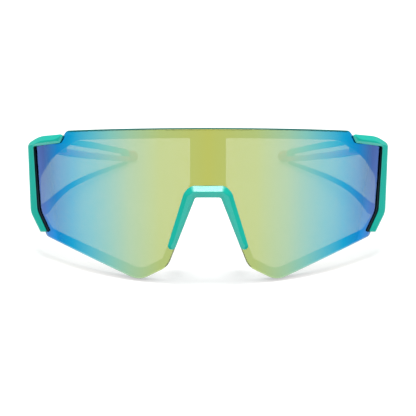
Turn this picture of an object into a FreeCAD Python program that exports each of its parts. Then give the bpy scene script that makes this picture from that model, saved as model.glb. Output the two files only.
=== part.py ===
# Shield sunglasses: one mirrored lens on a rim, held by two side bars and a nose bridge,
# with two folding open-work arms. Millimetres; X to the viewer's right, Y back, Z up.
# The pieces are drawn as worn, arms level, and then laid down at rest on the lens and the arm tips.
import FreeCAD, Part
import math
import os

import Sketcher

Vector = FreeCAD.Vector
doc = FreeCAD.newDocument("shield_sunglasses")
sheet = doc.addObject("Spreadsheet::Sheet", "sizes")

# Heights named Rise are above the wearer's eye line and those named Drop are below it.
# Widths named Half are measured from the middle plane.
drivingSizes = {
    # Lens
    "lensRadius": 91.0,
    "lensWrapAngle": 51.686,
    "lensThickness": 2.0,
    "lensTopRise": 30.3,
    "capReach": 14.9,
    "shoulderRun": 2.4,
    "shoulderFall": 3.9,
    "waistTuck": 1.9,
    "lensWaistDrop": 1.0,
    "cornerTuck": 4.6,
    "lensCornerDrop": 11.5,
    "lensInnerHalf": 15.46,
    "footRun": 11.14,
    "lensFootDrop": 28.0,
    "innerStep": 5.4,
    "noseCutHalf": 4.6,
    "noseCutRise": 4.9,
    "shoulderRound": 0.8,
    "lensCornerRound": 2.2,
    "lensFootRound": 8.0,
    "lensInnerRound": 4.0,
    "noseCutRound": 1.0,
    "lensBevel": 0.45,
    # Rim behind the lens
    "rimThickness": 2.6,
    "rimInset": 0.5,
    "rimLip": 0.4,
    "topRim": 3.3,
    "footRim": 4.1,
    "sideRim": 2.2,
    "noseRim": 3.4,
    "centreBarHalf": 6.9,
    "centreBarStep": 0.9,
    "gussetFoot": 4.0,
    "eyeRound": 3.0,
    # Side bars and their seals
    "barProud": 1.4,
    "barWall": 2.0,
    "barFootWidth": 2.7,
    "barFootStep": 1.9,
    "barTail": 0.5,
    "lensTongue": 0.8,
    "capStep": 1.0,
    "capHeight": 3.4,
    "capSlope": 0.9,
    "capGap": 0.9,
    "capFall": 0.5,
    "capRound": 5.0,
    "barBevel": 0.45,
    "sealWidth": 1.35,
    "sealHeight": 0.9,
    # Nose bridge and pads
    "bridgeHeight": 3.7,
    "bridgeRun": 1.7,
    "bridgeShoulderRun": 2.8,
    "bridgeShoulderStep": 0.8,
    "bridgeWeb": 0.9,
    "bridgeProud": 2.3,
    "bridgeRound": 1.8,
    "bridgeFacet": 1.0,
    "bridgeBack": 1.6,
    "legWidth": 3.1,
    "legStep": 6.7,
    "wingThickness": 1.0,
    "wingDepth": 7.0,
    "wingLength": 9.0,
    "wingSplayAngle": 9.0,
    "wingDrop": 3.0,
    "padThickness": 2.0,
    "padDepth": 7.6,
    "padLength": 15.0,
    "padRound": 0.85,
    # Arms
    "armToeAngle": 9.0,
    "armStraight": 46.0,
    "armBendAngle": 21.0,
    "armBendRadius": 115.0,
    "armTail": 18.5,
    "armThickness": 2.4,
    "armOutset": 1.95,
    "armStep": 0.1,
    "armFrontFall": 2.2,
    "armRiseRun": 25.0,
    "railHeight": 6.1,
    "tailHeight": 5.6,
    "railSlope": 0.018,
    "railTail": 33.0,
    "tailInset": 1.0,
    "uprightDepth": 5.0,
    "uprightDrop": 3.0,
    "armRound": 1.2,
    "armGussetRound": 16.0,
    "slotStart": 15.0,
    "slotTail": 5.0,
    "slotFloor": 3.0,
    "slotHeight": 2.2,
    "slotEndHeight": 0.8,
    # Lower braces, grips and ear socks
    "braceThickness": 2.2,
    "braceFrontHeight": 3.4,
    "braceBackHeight": 2.2,
    "braceTail": 1.5,
    "braceLevel": 13.5,
    "braceKnee": 32.5,
    "braceKneeRise": 7.5,
    "braceMiddleTail": 26.0,
    "braceMiddleFall": 14.6,
    "braceRound": 40.0,
    "bracePegRadius": 0.7,
    "bracePegLength": 2.4,
    "gripThickness": 1.1,
    "gripHeight": 2.6,
    "gripStart": 14.0,
    "gripTail": 2.0,
    "sockRadius": 2.8,
    "sockNeckRadius": 2.4,
    "sockTaper": 2.0,
    "sockLength": 6.5,
    "coreRadius": 1.1,
    "coreLength": 6.0,
    # Hinges and fasteners
    "pivotInset": 11.0,
    "pivotBack": 2.6,
    "knuckleRadius": 2.0,
    "knuckleHeight": 2.4,
    "tongueHeight": 3.0,
    "hingeStep": 3.1,
    "leafThickness": 1.2,
    "leafLength": 9.0,
    "leafHeight": 5.4,
    "hingeScrewRadius": 0.8,
    "hingeHeadRadius": 1.5,
    "hingeHeadHeight": 0.9,
    "barScrewRadius": 0.6,
    "barScrewHeadRadius": 1.05,
    "barScrewHeadHeight": 0.7,
    "barScrewDepth": 1.6,
    "barScrewInset": 1.1,
    "barScrewTail": 4.8,
    "rivetRadius": 0.7,
    "rivetHeadRadius": 1.15,
    "rivetHeadHeight": 0.5,
    "rivetPitch": 2.7,
    # Fits
    "seatGap": 0.08,
    "turnGap": 0.3,
    "pinGap": 0.04,
}
for row, (alias, amount) in enumerate(drivingSizes.items(), start=1):
    sheet.set(f"A{row}", alias)
    sheet.set(f"B{row}", str(amount))
    sheet.setAlias(f"B{row}", alias)
doc.recompute()


def size(alias):
    return f"sizes.{alias}"


def number(expression):
    result = sheet.evalExpression(expression)
    return float(getattr(result, "Value", result))


def bind(item, **expressions):
    for name, expression in expressions.items():
        item.setExpression(name.replace("__", "."), expression)
    return item


def negative(expression):
    return f"-({expression})"


# Sizes that follow from the driving ones
lensSideHalf = "(sizes.lensRadius * sin(sizes.lensWrapAngle))"
lensTopHalf = f"({lensSideHalf} - sizes.capReach)"
shoulderHalf = f"({lensTopHalf} + sizes.shoulderRun)"
shoulderRise = "(sizes.lensTopRise - sizes.shoulderFall)"
lensWaistHalf = f"({lensSideHalf} - sizes.waistTuck)"
lensCornerHalf = f"({lensWaistHalf} - sizes.cornerTuck)"
lensFootHalf = "(sizes.lensInnerHalf + sizes.footRun)"
lensInnerDrop = "(sizes.lensFootDrop - sizes.innerStep)"
capRise = "(sizes.lensTopRise - sizes.capStep)"
barFootDrop = "(sizes.lensCornerDrop - sizes.barFootStep)"
bridgeRise = "(sizes.noseCutRise + sizes.bridgeHeight)"
bridgeHalf = "(sizes.noseCutHalf + sizes.bridgeRun)"
bridgeShoulderHalf = f"({bridgeHalf} + sizes.bridgeShoulderRun)"
bridgeShoulderRise = "(sizes.noseCutRise + sizes.bridgeShoulderStep)"
centreBarFoot = f"({bridgeRise} + sizes.centreBarStep)"
legDrop = f"({lensInnerDrop} - sizes.legStep)"
armTopRise = "(sizes.lensTopRise - sizes.armStep)"
armFrontRise = f"({armTopRise} - sizes.armFrontFall)"
hingeRise = f"({capRise} - sizes.hingeStep)"
tailAngle = "(sizes.armToeAngle + sizes.armBendAngle)"
armReach = (
    f"(sizes.armStraight * cos(sizes.armToeAngle) + sizes.armTail * cos({tailAngle})"
    f" + sizes.armBendRadius * (sin({tailAngle}) - sin(sizes.armToeAngle)))"
)
railBreak = f"({armReach} - sizes.railTail)"
tailReach = f"({armReach} - sizes.tailInset)"
slotEnd = f"({armReach} - sizes.slotTail)"
braceReach = f"({armReach} - sizes.braceTail)"
braceMiddle = f"({armReach} - sizes.braceMiddleTail)"
gripEnd = f"({armReach} - sizes.gripTail)"
rimOuter = "(sizes.lensRadius - sizes.lensThickness - sizes.seatGap)"
rimInner = f"({rimOuter} - sizes.rimThickness)"
barOuter = "(sizes.lensRadius + sizes.barProud)"
barBack = f"(sizes.lensRadius - sqrt(pow({rimInner}; 2) - pow({lensSideHalf}; 2)) + sizes.barTail)"
capUnder = f"({capRise} - sizes.capHeight)"
armFront = f"({barBack} + sizes.turnGap)"
armHalf = f"({lensWaistHalf} + sizes.armOutset)"
armFace = "(0.5 * sizes.armThickness)"
pivotHalf = f"({armHalf} - sizes.pivotInset)"
pivotY = f"({armFront} + sizes.pivotBack)"
hingeFoot = f"({hingeRise} - 2 * sizes.knuckleHeight - sizes.tongueHeight - 2 * sizes.seatGap)"
tongueFoot = f"({hingeFoot} + sizes.knuckleHeight + sizes.seatGap)"
noseLean = (
    f"((sizes.lensInnerHalf - sizes.noseCutHalf) / ({lensInnerDrop} + sizes.noseCutRise))"
)


def railLine(back):
    # Height of the arm rail's underside at a distance behind the arm's front
    return f"({armTopRise} - sizes.railHeight - sizes.railSlope * ({back}))"


def noseEdge(rise):
    # Half width of the nose cut at a height
    return f"(sizes.noseCutHalf + {noseLean} * (sizes.noseCutRise - ({rise})))"


tipRise = f"({railLine(tailReach)} + 0.5 * sizes.tailHeight)"


# Drawing planes: how a drawing's two directions and its depth lie in space
planes = {
    "front": (FreeCAD.Rotation(Vector(1, 0, 0), 90), Vector(0, 1, 0), "y"),
    "plan": (FreeCAD.Rotation(), Vector(0, 0, 1), "z"),
    "side": (FreeCAD.Rotation(Vector(1, 1, 1), 120), Vector(1, 0, 0), "x"),
}


def drawing(name, corners, plane):
    # A closed outline of straight runs whose corners are bound to the sheet
    sketch = doc.addObject("Sketcher::SketchObject", name)
    sketch.Placement = FreeCAD.Placement(Vector(), planes[plane][0])
    places = [(number(corner[0]), number(corner[1])) for corner in corners]
    count = len(places)
    for index, place in enumerate(places):
        following = places[(index + 1) % count]
        sketch.addGeometry(Part.LineSegment(Vector(*place, 0), Vector(*following, 0)))
    for index in range(count):
        sketch.addConstraint(Sketcher.Constraint("Coincident", index, 2, (index + 1) % count, 1))
    for index, corner in enumerate(corners):
        for axis, kind in enumerate(("DistanceX", "DistanceY")):
            rule = Sketcher.Constraint(kind, -1, 1, index, 1, places[index][axis])
            sketch.setExpression(f"Constraints[{sketch.addConstraint(rule)}]", corner[axis])
    return sketch


def prism(name, corners, plane, start, length):
    # An outline drawn out square to its plane; a corner's third value is its rounding
    sketch = drawing(f"{name}_outline", corners, plane)
    rotation, direction, axis = planes[plane]
    sketch.setExpression(f"Placement.Base.{axis}", start)
    block = doc.addObject("Part::Extrusion", f"{name}_block")
    block.Base = sketch
    block.DirMode = "Custom"
    block.Dir = direction
    block.Solid = True
    bind(block, LengthFwd=length)
    doc.recompute()
    rounds = []
    for corner in corners:
        if len(corner) < 3:
            continue
        place = rotation.multVec(Vector(number(corner[0]), number(corner[1]), 0))
        for index, edge in enumerate(block.Shape.Edges, start=1):
            offsets = [vertex.Point - place for vertex in edge.Vertexes]
            if all(offset.cross(direction).Length < 1e-4 for offset in offsets):
                radius = number(corner[2])
                rounds.append((index, radius, radius))
    if not rounds:
        return block
    rounded = doc.addObject("Part::Fillet", f"{name}_rounded")
    rounded.Base = block
    rounded.Edges = rounds
    return rounded


def combine(kind, name, *items):
    result = doc.addObject(kind, name)
    if kind == "Part::Cut":
        result.Base, result.Tool = items
    else:
        result.Shapes = list(items)
    return result


def cut(name, base, *tools):
    tool = tools[0] if len(tools) == 1 else combine("Part::MultiFuse", f"{name}_tools", *tools)
    return combine("Part::Cut", name, base, tool)


def common(name, *items):
    return combine("Part::MultiCommon", name, *items)


def fuse(name, *items):
    result = combine("Part::MultiFuse", name, *items)
    result.Refine = True
    return result


def mirrored(name, source):
    result = doc.addObject("Part::Mirroring", name)
    result.Source = source
    result.Base = Vector()
    result.Normal = Vector(1, 0, 0)
    return result


def rod(name, radius, length, place, direction):
    # A round bar from a place along a direction
    result = doc.addObject("Part::Cylinder", name)
    bind(result, Radius=radius, Height=length)
    result.Placement = FreeCAD.Placement(place, FreeCAD.Rotation(Vector(0, 0, 1), direction))
    return result


def drum(name, radius):
    # A tall cylinder about the lens's own upright axis
    result = doc.addObject("Part::Cylinder", name)
    bind(result, Radius=radius, Height="4 * sizes.lensTopRise", Placement__Base__y=size("lensRadius"))
    bind(result, Placement__Base__z="-2 * sizes.lensTopRise")
    return result


def ring(name, inner, outer):
    return cut(name, drum(f"{name}_outer", outer), drum(f"{name}_inner", inner))


def bothSides(half):
    return half + [(negative(corner[0]), *corner[1:]) for corner in reversed(half)]


def edgesOn(shape, test):
    # Numbers of the edges whose ends and middle all pass a test
    found = []
    for index, edge in enumerate(shape.Edges, start=1):
        points = [edge.valueAt(edge.FirstParameter + share * (edge.LastParameter - edge.FirstParameter))
                  for share in (0.0, 0.5, 1.0)]
        if all(test(point) for point in points):
            found.append(index)
    return found


def bevelled(name, base, width, test, kind="Part::Chamfer"):
    doc.recompute()
    result = doc.addObject(kind, name)
    result.Base = base
    wide = number(width)
    result.Edges = [(index, wide, wide) for index in edgesOn(base.Shape, test)]
    return result


def onDrum(radius):
    reach = number(radius)
    back = number(size("lensRadius"))
    return lambda point: abs(math.hypot(point.x, point.y - back) - reach) < 1e-4


def polar(radius, angle, rise):
    # A place at a radius and an angle about the lens axis, and the way out from the axis there
    outward = Vector(math.sin(math.radians(number(angle))), -math.cos(math.radians(number(angle))), 0)
    place = Vector(0, number(size("lensRadius")), number(rise)) + outward * number(radius)
    return place, outward


nodes = {}


def keep(name, item):
    item.Label = name
    nodes[name] = item


frontStart = negative("sizes.bridgeProud + sizes.barProud")
frontLength = f"({barBack} + sizes.bridgeProud + sizes.barProud)"


def lensHalf(grow):
    # The lens's edge from its top round to the nose, moved outward by a clearance
    return [
        (f"{lensTopHalf} + {grow}", f"sizes.lensTopRise + {grow}", size("shoulderRound")),
        (f"{shoulderHalf} + {grow}", f"{shoulderRise} + {grow}", size("shoulderRound")),
        (f"{lensSideHalf} + {grow}", f"{shoulderRise} + {grow}", size("shoulderRound")),
        (f"{lensWaistHalf} + {grow}", negative("sizes.lensWaistDrop"), size("lensFootRound")),
        (f"{lensCornerHalf} + {grow}", negative(f"sizes.lensCornerDrop + {grow}"),
         size("lensCornerRound")),
        (lensFootHalf, negative(f"sizes.lensFootDrop + {grow}"), size("lensFootRound")),
        (f"sizes.lensInnerHalf - {grow}", negative(f"{lensInnerDrop} + {grow}"),
         size("lensInnerRound")),
        (f"sizes.noseCutHalf - {grow}", f"sizes.noseCutRise - {grow}", size("noseCutRound")),
    ]


def rimHalf(grow):
    # The rim's edge: just above the lens at the top, behind the cap at the side, inside the lens below
    inset = f"({grow} - sizes.rimInset)"
    return [
        (f"{lensTopHalf} + {grow}", f"sizes.lensTopRise + sizes.rimLip + {grow}", size("shoulderRound")),
        (f"{lensTopHalf} + sizes.capGap + {grow}", f"{capRise} + {inset}"),
        (f"{lensSideHalf} - 4 * sizes.rimInset + {grow}", f"{capRise} - sizes.rimInset + {inset}",
         size("shoulderRound")),
        (f"{lensSideHalf} + {inset}", f"{shoulderRise} + {inset}"),
        (f"{lensWaistHalf} + {inset}", negative("sizes.lensWaistDrop"), size("lensFootRound")),
        (f"{lensCornerHalf} + {inset}", negative(f"sizes.lensCornerDrop + {inset}"),
         size("lensCornerRound")),
        (lensFootHalf, negative(f"sizes.lensFootDrop + {inset}"), size("lensFootRound")),
        (f"sizes.lensInnerHalf - {inset}", negative(f"{lensInnerDrop} + {inset}"),
         size("lensInnerRound")),
        (f"sizes.noseCutHalf - {inset}", f"sizes.noseCutRise - {inset}", size("noseCutRound")),
    ]


# Lens
lensSheet = ring("lensSheet", "sizes.lensRadius - sizes.lensThickness", size("lensRadius"))
lensOutline = prism("lensOutline", bothSides(lensHalf("0")), "front", frontStart, frontLength)
lensBlank = common("lensBlank", lensSheet, lensOutline)
lensFront = onDrum(size("lensRadius"))
keep("shield_lens", bevelled("lens", lensBlank, size("lensBevel"), lensFront, "Part::Fillet"))

# Bar screws stand square to the lens sheet behind each cap
barScrewPlaces = [
    polar(f"{rimInner} - sizes.seatGap", f"asin({half} / {rimInner})", f"{capRise} - 0.5 * sizes.capHeight")
    for half in (f"({lensTopHalf} + sizes.capGap + sizes.barScrewInset)",
                 f"({lensSideHalf} - sizes.barScrewTail)")
]
barScrewLength = "(sizes.rimThickness + 3 * sizes.seatGap + sizes.barScrewDepth)"
barScrews = []
barScrewBores = []
for index, (place, outward) in enumerate(barScrewPlaces):
    shank = rod(f"barScrewShank{index}", size("barScrewRadius"), barScrewLength, place, outward)
    head = rod(f"barScrewHead{index}", size("barScrewHeadRadius"), size("barScrewHeadHeight"),
               place, outward * -1)
    barScrews.append(fuse(f"barScrew{index}", shank, head))
    bore = rod(f"barScrewBore{index}", "sizes.barScrewRadius + sizes.pinGap",
               f"{barScrewLength} + sizes.seatGap", place, outward)
    barScrewBores.append(bore)

# Rim with its two eye openings
rimSheet = ring("rimSheet", rimInner, rimOuter)
rimOutline = prism("rimOutline", bothSides(rimHalf("0")), "front", frontStart, frontLength)
eyeTop = "(sizes.lensTopRise - sizes.topRim)"
gussetRound = f"({eyeTop} + sizes.lensWaistDrop - sizes.gussetFoot)"
eyeCorners = [
    (size("centreBarHalf"), eyeTop, size("eyeRound")),
    (f"{lensWaistHalf} - sizes.sideRim", eyeTop, gussetRound),
    (f"{lensWaistHalf} - sizes.sideRim", negative("sizes.lensWaistDrop"), size("lensFootRound")),
    (f"{lensCornerHalf} - sizes.sideRim", "1.7 * sizes.sideRim - sizes.lensCornerDrop", size("eyeRound")),
    (f"{lensFootHalf} + 0.1 * sizes.footRim", "sizes.footRim - sizes.lensFootDrop", size("lensFootRound")),
    ("sizes.lensInnerHalf + 0.6 * sizes.noseRim", f"sizes.noseRim - {lensInnerDrop}", size("eyeRound")),
    (f"{noseEdge(negative(f'{legDrop} - sizes.legWidth'))} + sizes.noseRim",
     negative(f"{legDrop} - sizes.legWidth"), size("eyeRound")),
    (size("centreBarHalf"), centreBarFoot, size("eyeRound")),
]
eyeRight = prism("eyeRight", eyeCorners, "front", frontStart, frontLength)
eyeLeft = mirrored("eyeLeft", eyeRight)
rimBlank = common("rimBlank", rimSheet, rimOutline)
rimBores = [mirrored(f"{bore.Name}Left", bore) for bore in barScrewBores]
keep("front_frame", cut("rim", rimBlank, eyeRight, eyeLeft, *barScrewBores, *rimBores))

# Side bar: a hooked bar round the lens's outer edge, grooved for the lens and the rim
barCorners = [
    (f"{lensTopHalf} + sizes.capGap", capRise),
    (f"{lensSideHalf} + sizes.barWall", f"{capRise} - sizes.capFall", size("capRound")),
    (f"{lensWaistHalf} + sizes.barWall", negative("sizes.lensWaistDrop"), size("lensFootRound")),
    (f"{lensCornerHalf} + sizes.barFootWidth - 0.5 * sizes.lensTongue", negative(barFootDrop)),
    (f"{lensCornerHalf} - 0.5 * sizes.lensTongue", negative(barFootDrop)),
    (f"{lensWaistHalf} - sizes.lensTongue", negative("sizes.lensWaistDrop"), size("lensFootRound")),
    (f"{lensSideHalf} - sizes.lensTongue", f"{capUnder} - sizes.capSlope", size("shoulderRound")),
    (f"{shoulderHalf} + 0.5 * sizes.lensTongue", capUnder),
]
barSheet = ring("barSheet", rimInner, barOuter)
barOutline = prism("barOutline", barCorners, "front", frontStart, frontLength)
barBlank = common("barBlank", barSheet, barOutline)
barProudBlank = bevelled("barBevel", barBlank, size("barBevel"), onDrum(barOuter))
lensGroove = common(
    "lensGroove",
    ring("lensGrooveSheet", f"{rimInner} - sizes.seatGap", "sizes.lensRadius + sizes.seatGap"),
    prism("lensGrooveOutline", bothSides(lensHalf("sizes.seatGap")), "front", frontStart, frontLength),
)
rimGroove = common(
    "rimGroove",
    ring("rimGrooveSheet", f"{rimInner} - sizes.seatGap", f"{rimOuter} + sizes.seatGap"),
    prism("rimGrooveOutline", bothSides(rimHalf("sizes.seatGap")), "front", frontStart, frontLength),
)
keep("side_bar_right", cut("bar", barProudBlank, lensGroove, rimGroove, *barScrewBores))
screwPair = doc.addObject("Part::Compound", "barScrewPair")
screwPair.Links = barScrews
keep("bar_screws_right", screwPair)

# Edge seal: a soft bead on the lens along the bar's inner side
sealOuterGap = "(sizes.lensTongue + sizes.seatGap)"
sealInnerGap = f"({sealOuterGap} + sizes.sealWidth)"
sealCorners = [
    (f"{lensSideHalf} - {sealOuterGap}", f"{capUnder} - sizes.capSlope - sizes.seatGap",
     "sizes.shoulderRound + sizes.seatGap"),
    (f"{lensWaistHalf} - {sealOuterGap}", negative("sizes.lensWaistDrop"), size("lensFootRound")),
    (f"{lensCornerHalf} - 0.5 * sizes.lensTongue - sizes.seatGap", negative(barFootDrop),
     "0.3 * sizes.sealWidth"),
    (f"{lensCornerHalf} - 0.5 * sizes.lensTongue - sizes.seatGap - sizes.sealWidth",
     f"0.45 * sizes.sealWidth - {barFootDrop}", "0.3 * sizes.sealWidth"),
    (f"{lensWaistHalf} - {sealInnerGap}", negative("sizes.lensWaistDrop"), size("lensFootRound")),
    (f"{lensSideHalf} - {sealInnerGap}", f"{capUnder} - sizes.capSlope - sizes.seatGap"),
]
sealSheet = ring("sealSheet", "sizes.lensRadius + sizes.seatGap", "sizes.lensRadius + sizes.sealHeight")
sealOutline = prism("sealOutline", sealCorners, "front", frontStart, frontLength)
keep("edge_seal_right", common("seal", sealSheet, sealOutline))

# Nose bridge: a faceted clip in front, a web through the nose cut, a plate and two wings behind
legFoot = negative(legDrop)
webFoot = "(sizes.noseCutRise - sizes.bridgeWeb)"
bridgeHalfCorners = [
    (bridgeHalf, bridgeRise, size("bridgeRound")),
    (bridgeShoulderHalf, bridgeShoulderRise, size("bridgeRound")),
    (f"{noseEdge(legFoot)} + sizes.legWidth", legFoot, "0.45 * sizes.legWidth"),
    (noseEdge(legFoot), legFoot, "0.45 * sizes.legWidth"),
    (noseEdge(webFoot), webFoot, size("noseCutRound")),
]
bridgeFrontPlane = negative("sizes.bridgeProud")
bridgeOutline = prism("bridgeOutline", bothSides(bridgeHalfCorners), "front", bridgeFrontPlane,
                      "sizes.bridgeProud + sizes.lensThickness + sizes.rimThickness + 4 * sizes.bridgeBack")
frontFace = number(bridgeFrontPlane)
bridgeFacets = bevelled("bridgeFacets", bridgeOutline, size("bridgeFacet"),
                        lambda point: abs(point.y - frontFace) < 1e-4)
bridgeFront = cut("bridgeFront", bridgeFacets, drum("bridgeLensFace", "sizes.lensRadius + sizes.seatGap"))
plateFront = f"({rimInner} - sizes.seatGap)"
bridgePlateSheet = ring("bridgePlateSheet", f"{plateFront} - sizes.bridgeBack", plateFront)
bridgePlate = common("bridgePlate", bridgePlateSheet, bridgeOutline)
webHalf = f"({noseEdge('sizes.noseCutRise')} - sizes.noseCutRound)"
bridgeWeb = doc.addObject("Part::Box", "bridgeWeb")
webDepth = (
    f"sizes.lensRadius - {rimInner} + sizes.seatGap"
    " + 0.5 * sizes.bridgeBack + 0.3 * sizes.bridgeProud"
)
bind(bridgeWeb, Length=f"2 * {webHalf}", Height="sizes.bridgeWeb - sizes.seatGap", Width=webDepth)
bind(bridgeWeb, Placement__Base__x=negative(webHalf), Placement__Base__y="-0.3 * sizes.bridgeProud",
     Placement__Base__z=webFoot)


def legPlacement(inward):
    # The wing's own frame: down the leg, back and splayed away from the nose
    rise = negative("sizes.wingDrop")
    lean = math.degrees(math.atan(number(noseLean)))
    legFrame = FreeCAD.Rotation(Vector(0, 1, 0), -lean)
    splay = FreeCAD.Rotation(Vector(0, 0, 1), -number(size("wingSplayAngle")))
    rotation = legFrame.multiply(splay)
    half = number(f"{noseEdge(rise)} + sizes.padThickness + sizes.seatGap + 0.5 * sizes.wingThickness")
    back = number("sizes.lensRadius") - math.sqrt(number(f"{rimInner} - sizes.seatGap") ** 2 - half**2)
    start = Vector(half, back + 0.5 * number(size("bridgeBack")), number(rise))
    return FreeCAD.Placement(start + rotation.multVec(Vector(-number(inward), 0, 0)), rotation)


def legBlock(name, thickness, depth, length, inward, ahead):
    block = doc.addObject("Part::Box", name)
    bind(block, Length=thickness, Width=depth, Height=length)
    middle = Vector(0, number(ahead), -0.5 * number(length) - 0.5 * number(size("wingLength")))
    block.Placement = legPlacement(inward).multiply(FreeCAD.Placement(middle, FreeCAD.Rotation()))
    return block


wingRight = legBlock("wingRight", size("wingThickness"), size("wingDepth"), size("wingLength"),
                     "0.5 * sizes.wingThickness", "0")
wingLeft = mirrored("wingLeft", wingRight)
keep("nose_bridge", fuse("bridge", bridgeFront, bridgePlate, bridgeWeb, wingRight, wingLeft))

padBlock = legBlock("padBlock", size("padThickness"), size("padDepth"), size("padLength"),
                    "0.5 * sizes.wingThickness + sizes.seatGap + sizes.padThickness",
                    "0.5 * sizes.bridgeBack + sizes.turnGap + sizes.seatGap")
doc.recompute()
pad = doc.addObject("Part::Fillet", "pad")
pad.Base = padBlock
padCorner = number(size("padRound"))
pad.Edges = [(index, padCorner, padCorner) for index in range(1, 13)]
keep("nose_pad_right", pad)


# Arms follow a path in plan: a straight run, a bend inward and a straight tail
def armFrames():
    toe = math.radians(number(size("armToeAngle")))
    tail = math.radians(number(tailAngle))
    start = Vector(number(armHalf), number(armFront), 0)
    ahead = Vector(-math.sin(toe), math.cos(toe), 0)
    outward = Vector(math.cos(toe), math.sin(toe), 0)
    centre = start + ahead * number(size("armStraight")) - outward * number(size("armBendRadius"))
    tailOutward = Vector(math.cos(tail), math.sin(tail), 0)
    tailStart = centre + tailOutward * number(size("armBendRadius"))
    tailAhead = Vector(-math.sin(tail), math.cos(tail), 0)
    return start, centre, tailStart, ahead, outward, tailAhead, tailOutward


armStart, bendCentre, tailStart, armAhead, armOutward, tailAhead, tailOutward = armFrames()
tailEnd = tailStart + tailAhead * number(size("armTail"))
wallFoot = negative("sizes.uprightDrop + sizes.lensFootDrop")
wallHeight = f"({armTopRise} + sizes.uprightDrop + 2 * sizes.lensFootDrop)"


def armWall(name, inner, thickness):
    # A tall wall along the arm's path, from an inner face outward
    upright = Vector(0, 0, number(wallFoot))
    toe = FreeCAD.Rotation(Vector(0, 0, 1), number(size("armToeAngle")))
    tail = FreeCAD.Rotation(Vector(0, 0, 1), number(tailAngle))
    runs = []
    for label, run, start, outward, turn in (
        ("Run", size("armStraight"), armStart, armOutward, toe),
        ("Tail", size("armTail"), tailStart, tailOutward, tail),
    ):
        block = doc.addObject("Part::Box", name + label)
        bind(block, Length=thickness, Width=run, Height=wallHeight)
        block.Placement = FreeCAD.Placement(start + outward * number(inner) + upright, turn)
        runs.append(block)
    sectors = []
    for label, radius in (
        ("BendOuter", f"sizes.armBendRadius + {inner} + {thickness}"),
        ("BendInner", f"sizes.armBendRadius + {inner}"),
    ):
        sector = doc.addObject("Part::Cylinder", name + label)
        bind(sector, Radius=radius, Height=wallHeight, Angle=size("armBendAngle"))
        sector.Placement = FreeCAD.Placement(bendCentre + upright, toe)
        sectors.append(sector)
    return fuse(name, runs[0], cut(f"{name}Bend", *sectors), runs[1])


def sidePrism(name, corners):
    return prism(name, corners, "side", f"0.2 * {lensSideHalf}", lensSideHalf)


tailBack = f"({tailReach} + sizes.armTail)"
tailTop = f"({railLine(tailReach)} + sizes.tailHeight)"


def behind(back):
    return f"({armFront} + {back})"


armCorners = [
    (armFront, armFrontRise, size("armRound")),
    (behind(size("armRiseRun")), armTopRise, "4 * sizes.armRiseRun"),
    (behind(railBreak), armTopRise, "4 * sizes.armRiseRun"),
    (behind(tailReach), tailTop),
    (behind(tailBack), tailTop),
    (behind(tailBack), railLine(tailBack)),
    (behind(size("uprightDepth")), railLine(size("uprightDepth")), size("armGussetRound")),
    (behind(size("uprightDepth")), negative("sizes.uprightDrop"), size("armRound")),
    (armFront, negative("sizes.uprightDrop"), size("armRound")),
]
slotFoot = f"({railLine(size('slotStart'))} + sizes.slotFloor)"
slotEndFoot = f"({railLine(slotEnd)} + sizes.slotFloor)"
slotCorners = [
    (behind(size("slotStart")), slotFoot, "0.3 * sizes.slotHeight"),
    (behind(size("slotStart")), f"{slotFoot} + sizes.slotHeight", "0.3 * sizes.slotHeight"),
    (behind(slotEnd), f"{slotEndFoot} + sizes.slotEndHeight", "0.3 * sizes.slotEndHeight"),
    (behind(slotEnd), slotEndFoot, "0.3 * sizes.slotEndHeight"),
]

# Pegs that join a lower brace to its arm, one into the upright and one up into the rail
bracePegPlaces = [
    (armStart + armAhead * number("sizes.uprightDepth + sizes.bracePegLength"), armAhead * -1,
     number("0.5 * sizes.braceFrontHeight - sizes.uprightDrop")),
    (tailEnd - tailAhead * number("1.5 * sizes.bracePegLength"), Vector(0, 0, 1),
     number(f"{railLine(braceReach)} - 0.7 * sizes.bracePegLength")),
]


def bracePeg(name, gap, place, direction, rise):
    length = f"2 * sizes.bracePegLength + {gap}"
    return rod(name, f"sizes.bracePegRadius + {gap}", length, place + Vector(0, 0, rise), direction)


leafRise = f"({tongueFoot} + 0.5 * sizes.tongueHeight)"
rivetPlaces = [
    armStart
    + armAhead * number("sizes.turnGap + sizes.leafLength - 1.6 * sizes.rivetHeadRadius")
    + Vector(0, 0, number(f"{leafRise} + ({step}) * sizes.rivetPitch"))
    for step in ("-0.5", "0.5")
]
leafInner = f"({armFace} + sizes.seatGap + sizes.leafThickness)"


def rivetRods(name, gap, place):
    # A rivet runs from the leaf's inner face to the middle of the arm
    start = place - armOutward * number(leafInner)
    reach = f"{leafInner} + 0.25 * sizes.armThickness + {gap}"
    return rod(name, f"sizes.rivetRadius + {gap}", reach, start, armOutward)


rivetBores = [
    rivetRods(f"rivetBore{index}", size("pinGap"), place)
    for index, place in enumerate(rivetPlaces)
]
armSheet = armWall("armSheet", negative(armFace), size("armThickness"))
armProfile = cut("armProfile", sidePrism("armOutline", armCorners), sidePrism("slotOutline", slotCorners))
armBlank = common("armBlank", armSheet, armProfile)
core = rod("core", size("coreRadius"), "2 * sizes.coreLength",
           tailEnd - tailAhead * number(size("coreLength")) + Vector(0, 0, number(tipRise)), tailAhead)
armCored = fuse("armCored", armBlank, core)
pegBores = [
    bracePeg(f"pegBore{index}", size("pinGap"), *place)
    for index, place in enumerate(bracePegPlaces)
]
keep("arm_right", cut("arm", armCored, *rivetBores, *pegBores))

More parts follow.
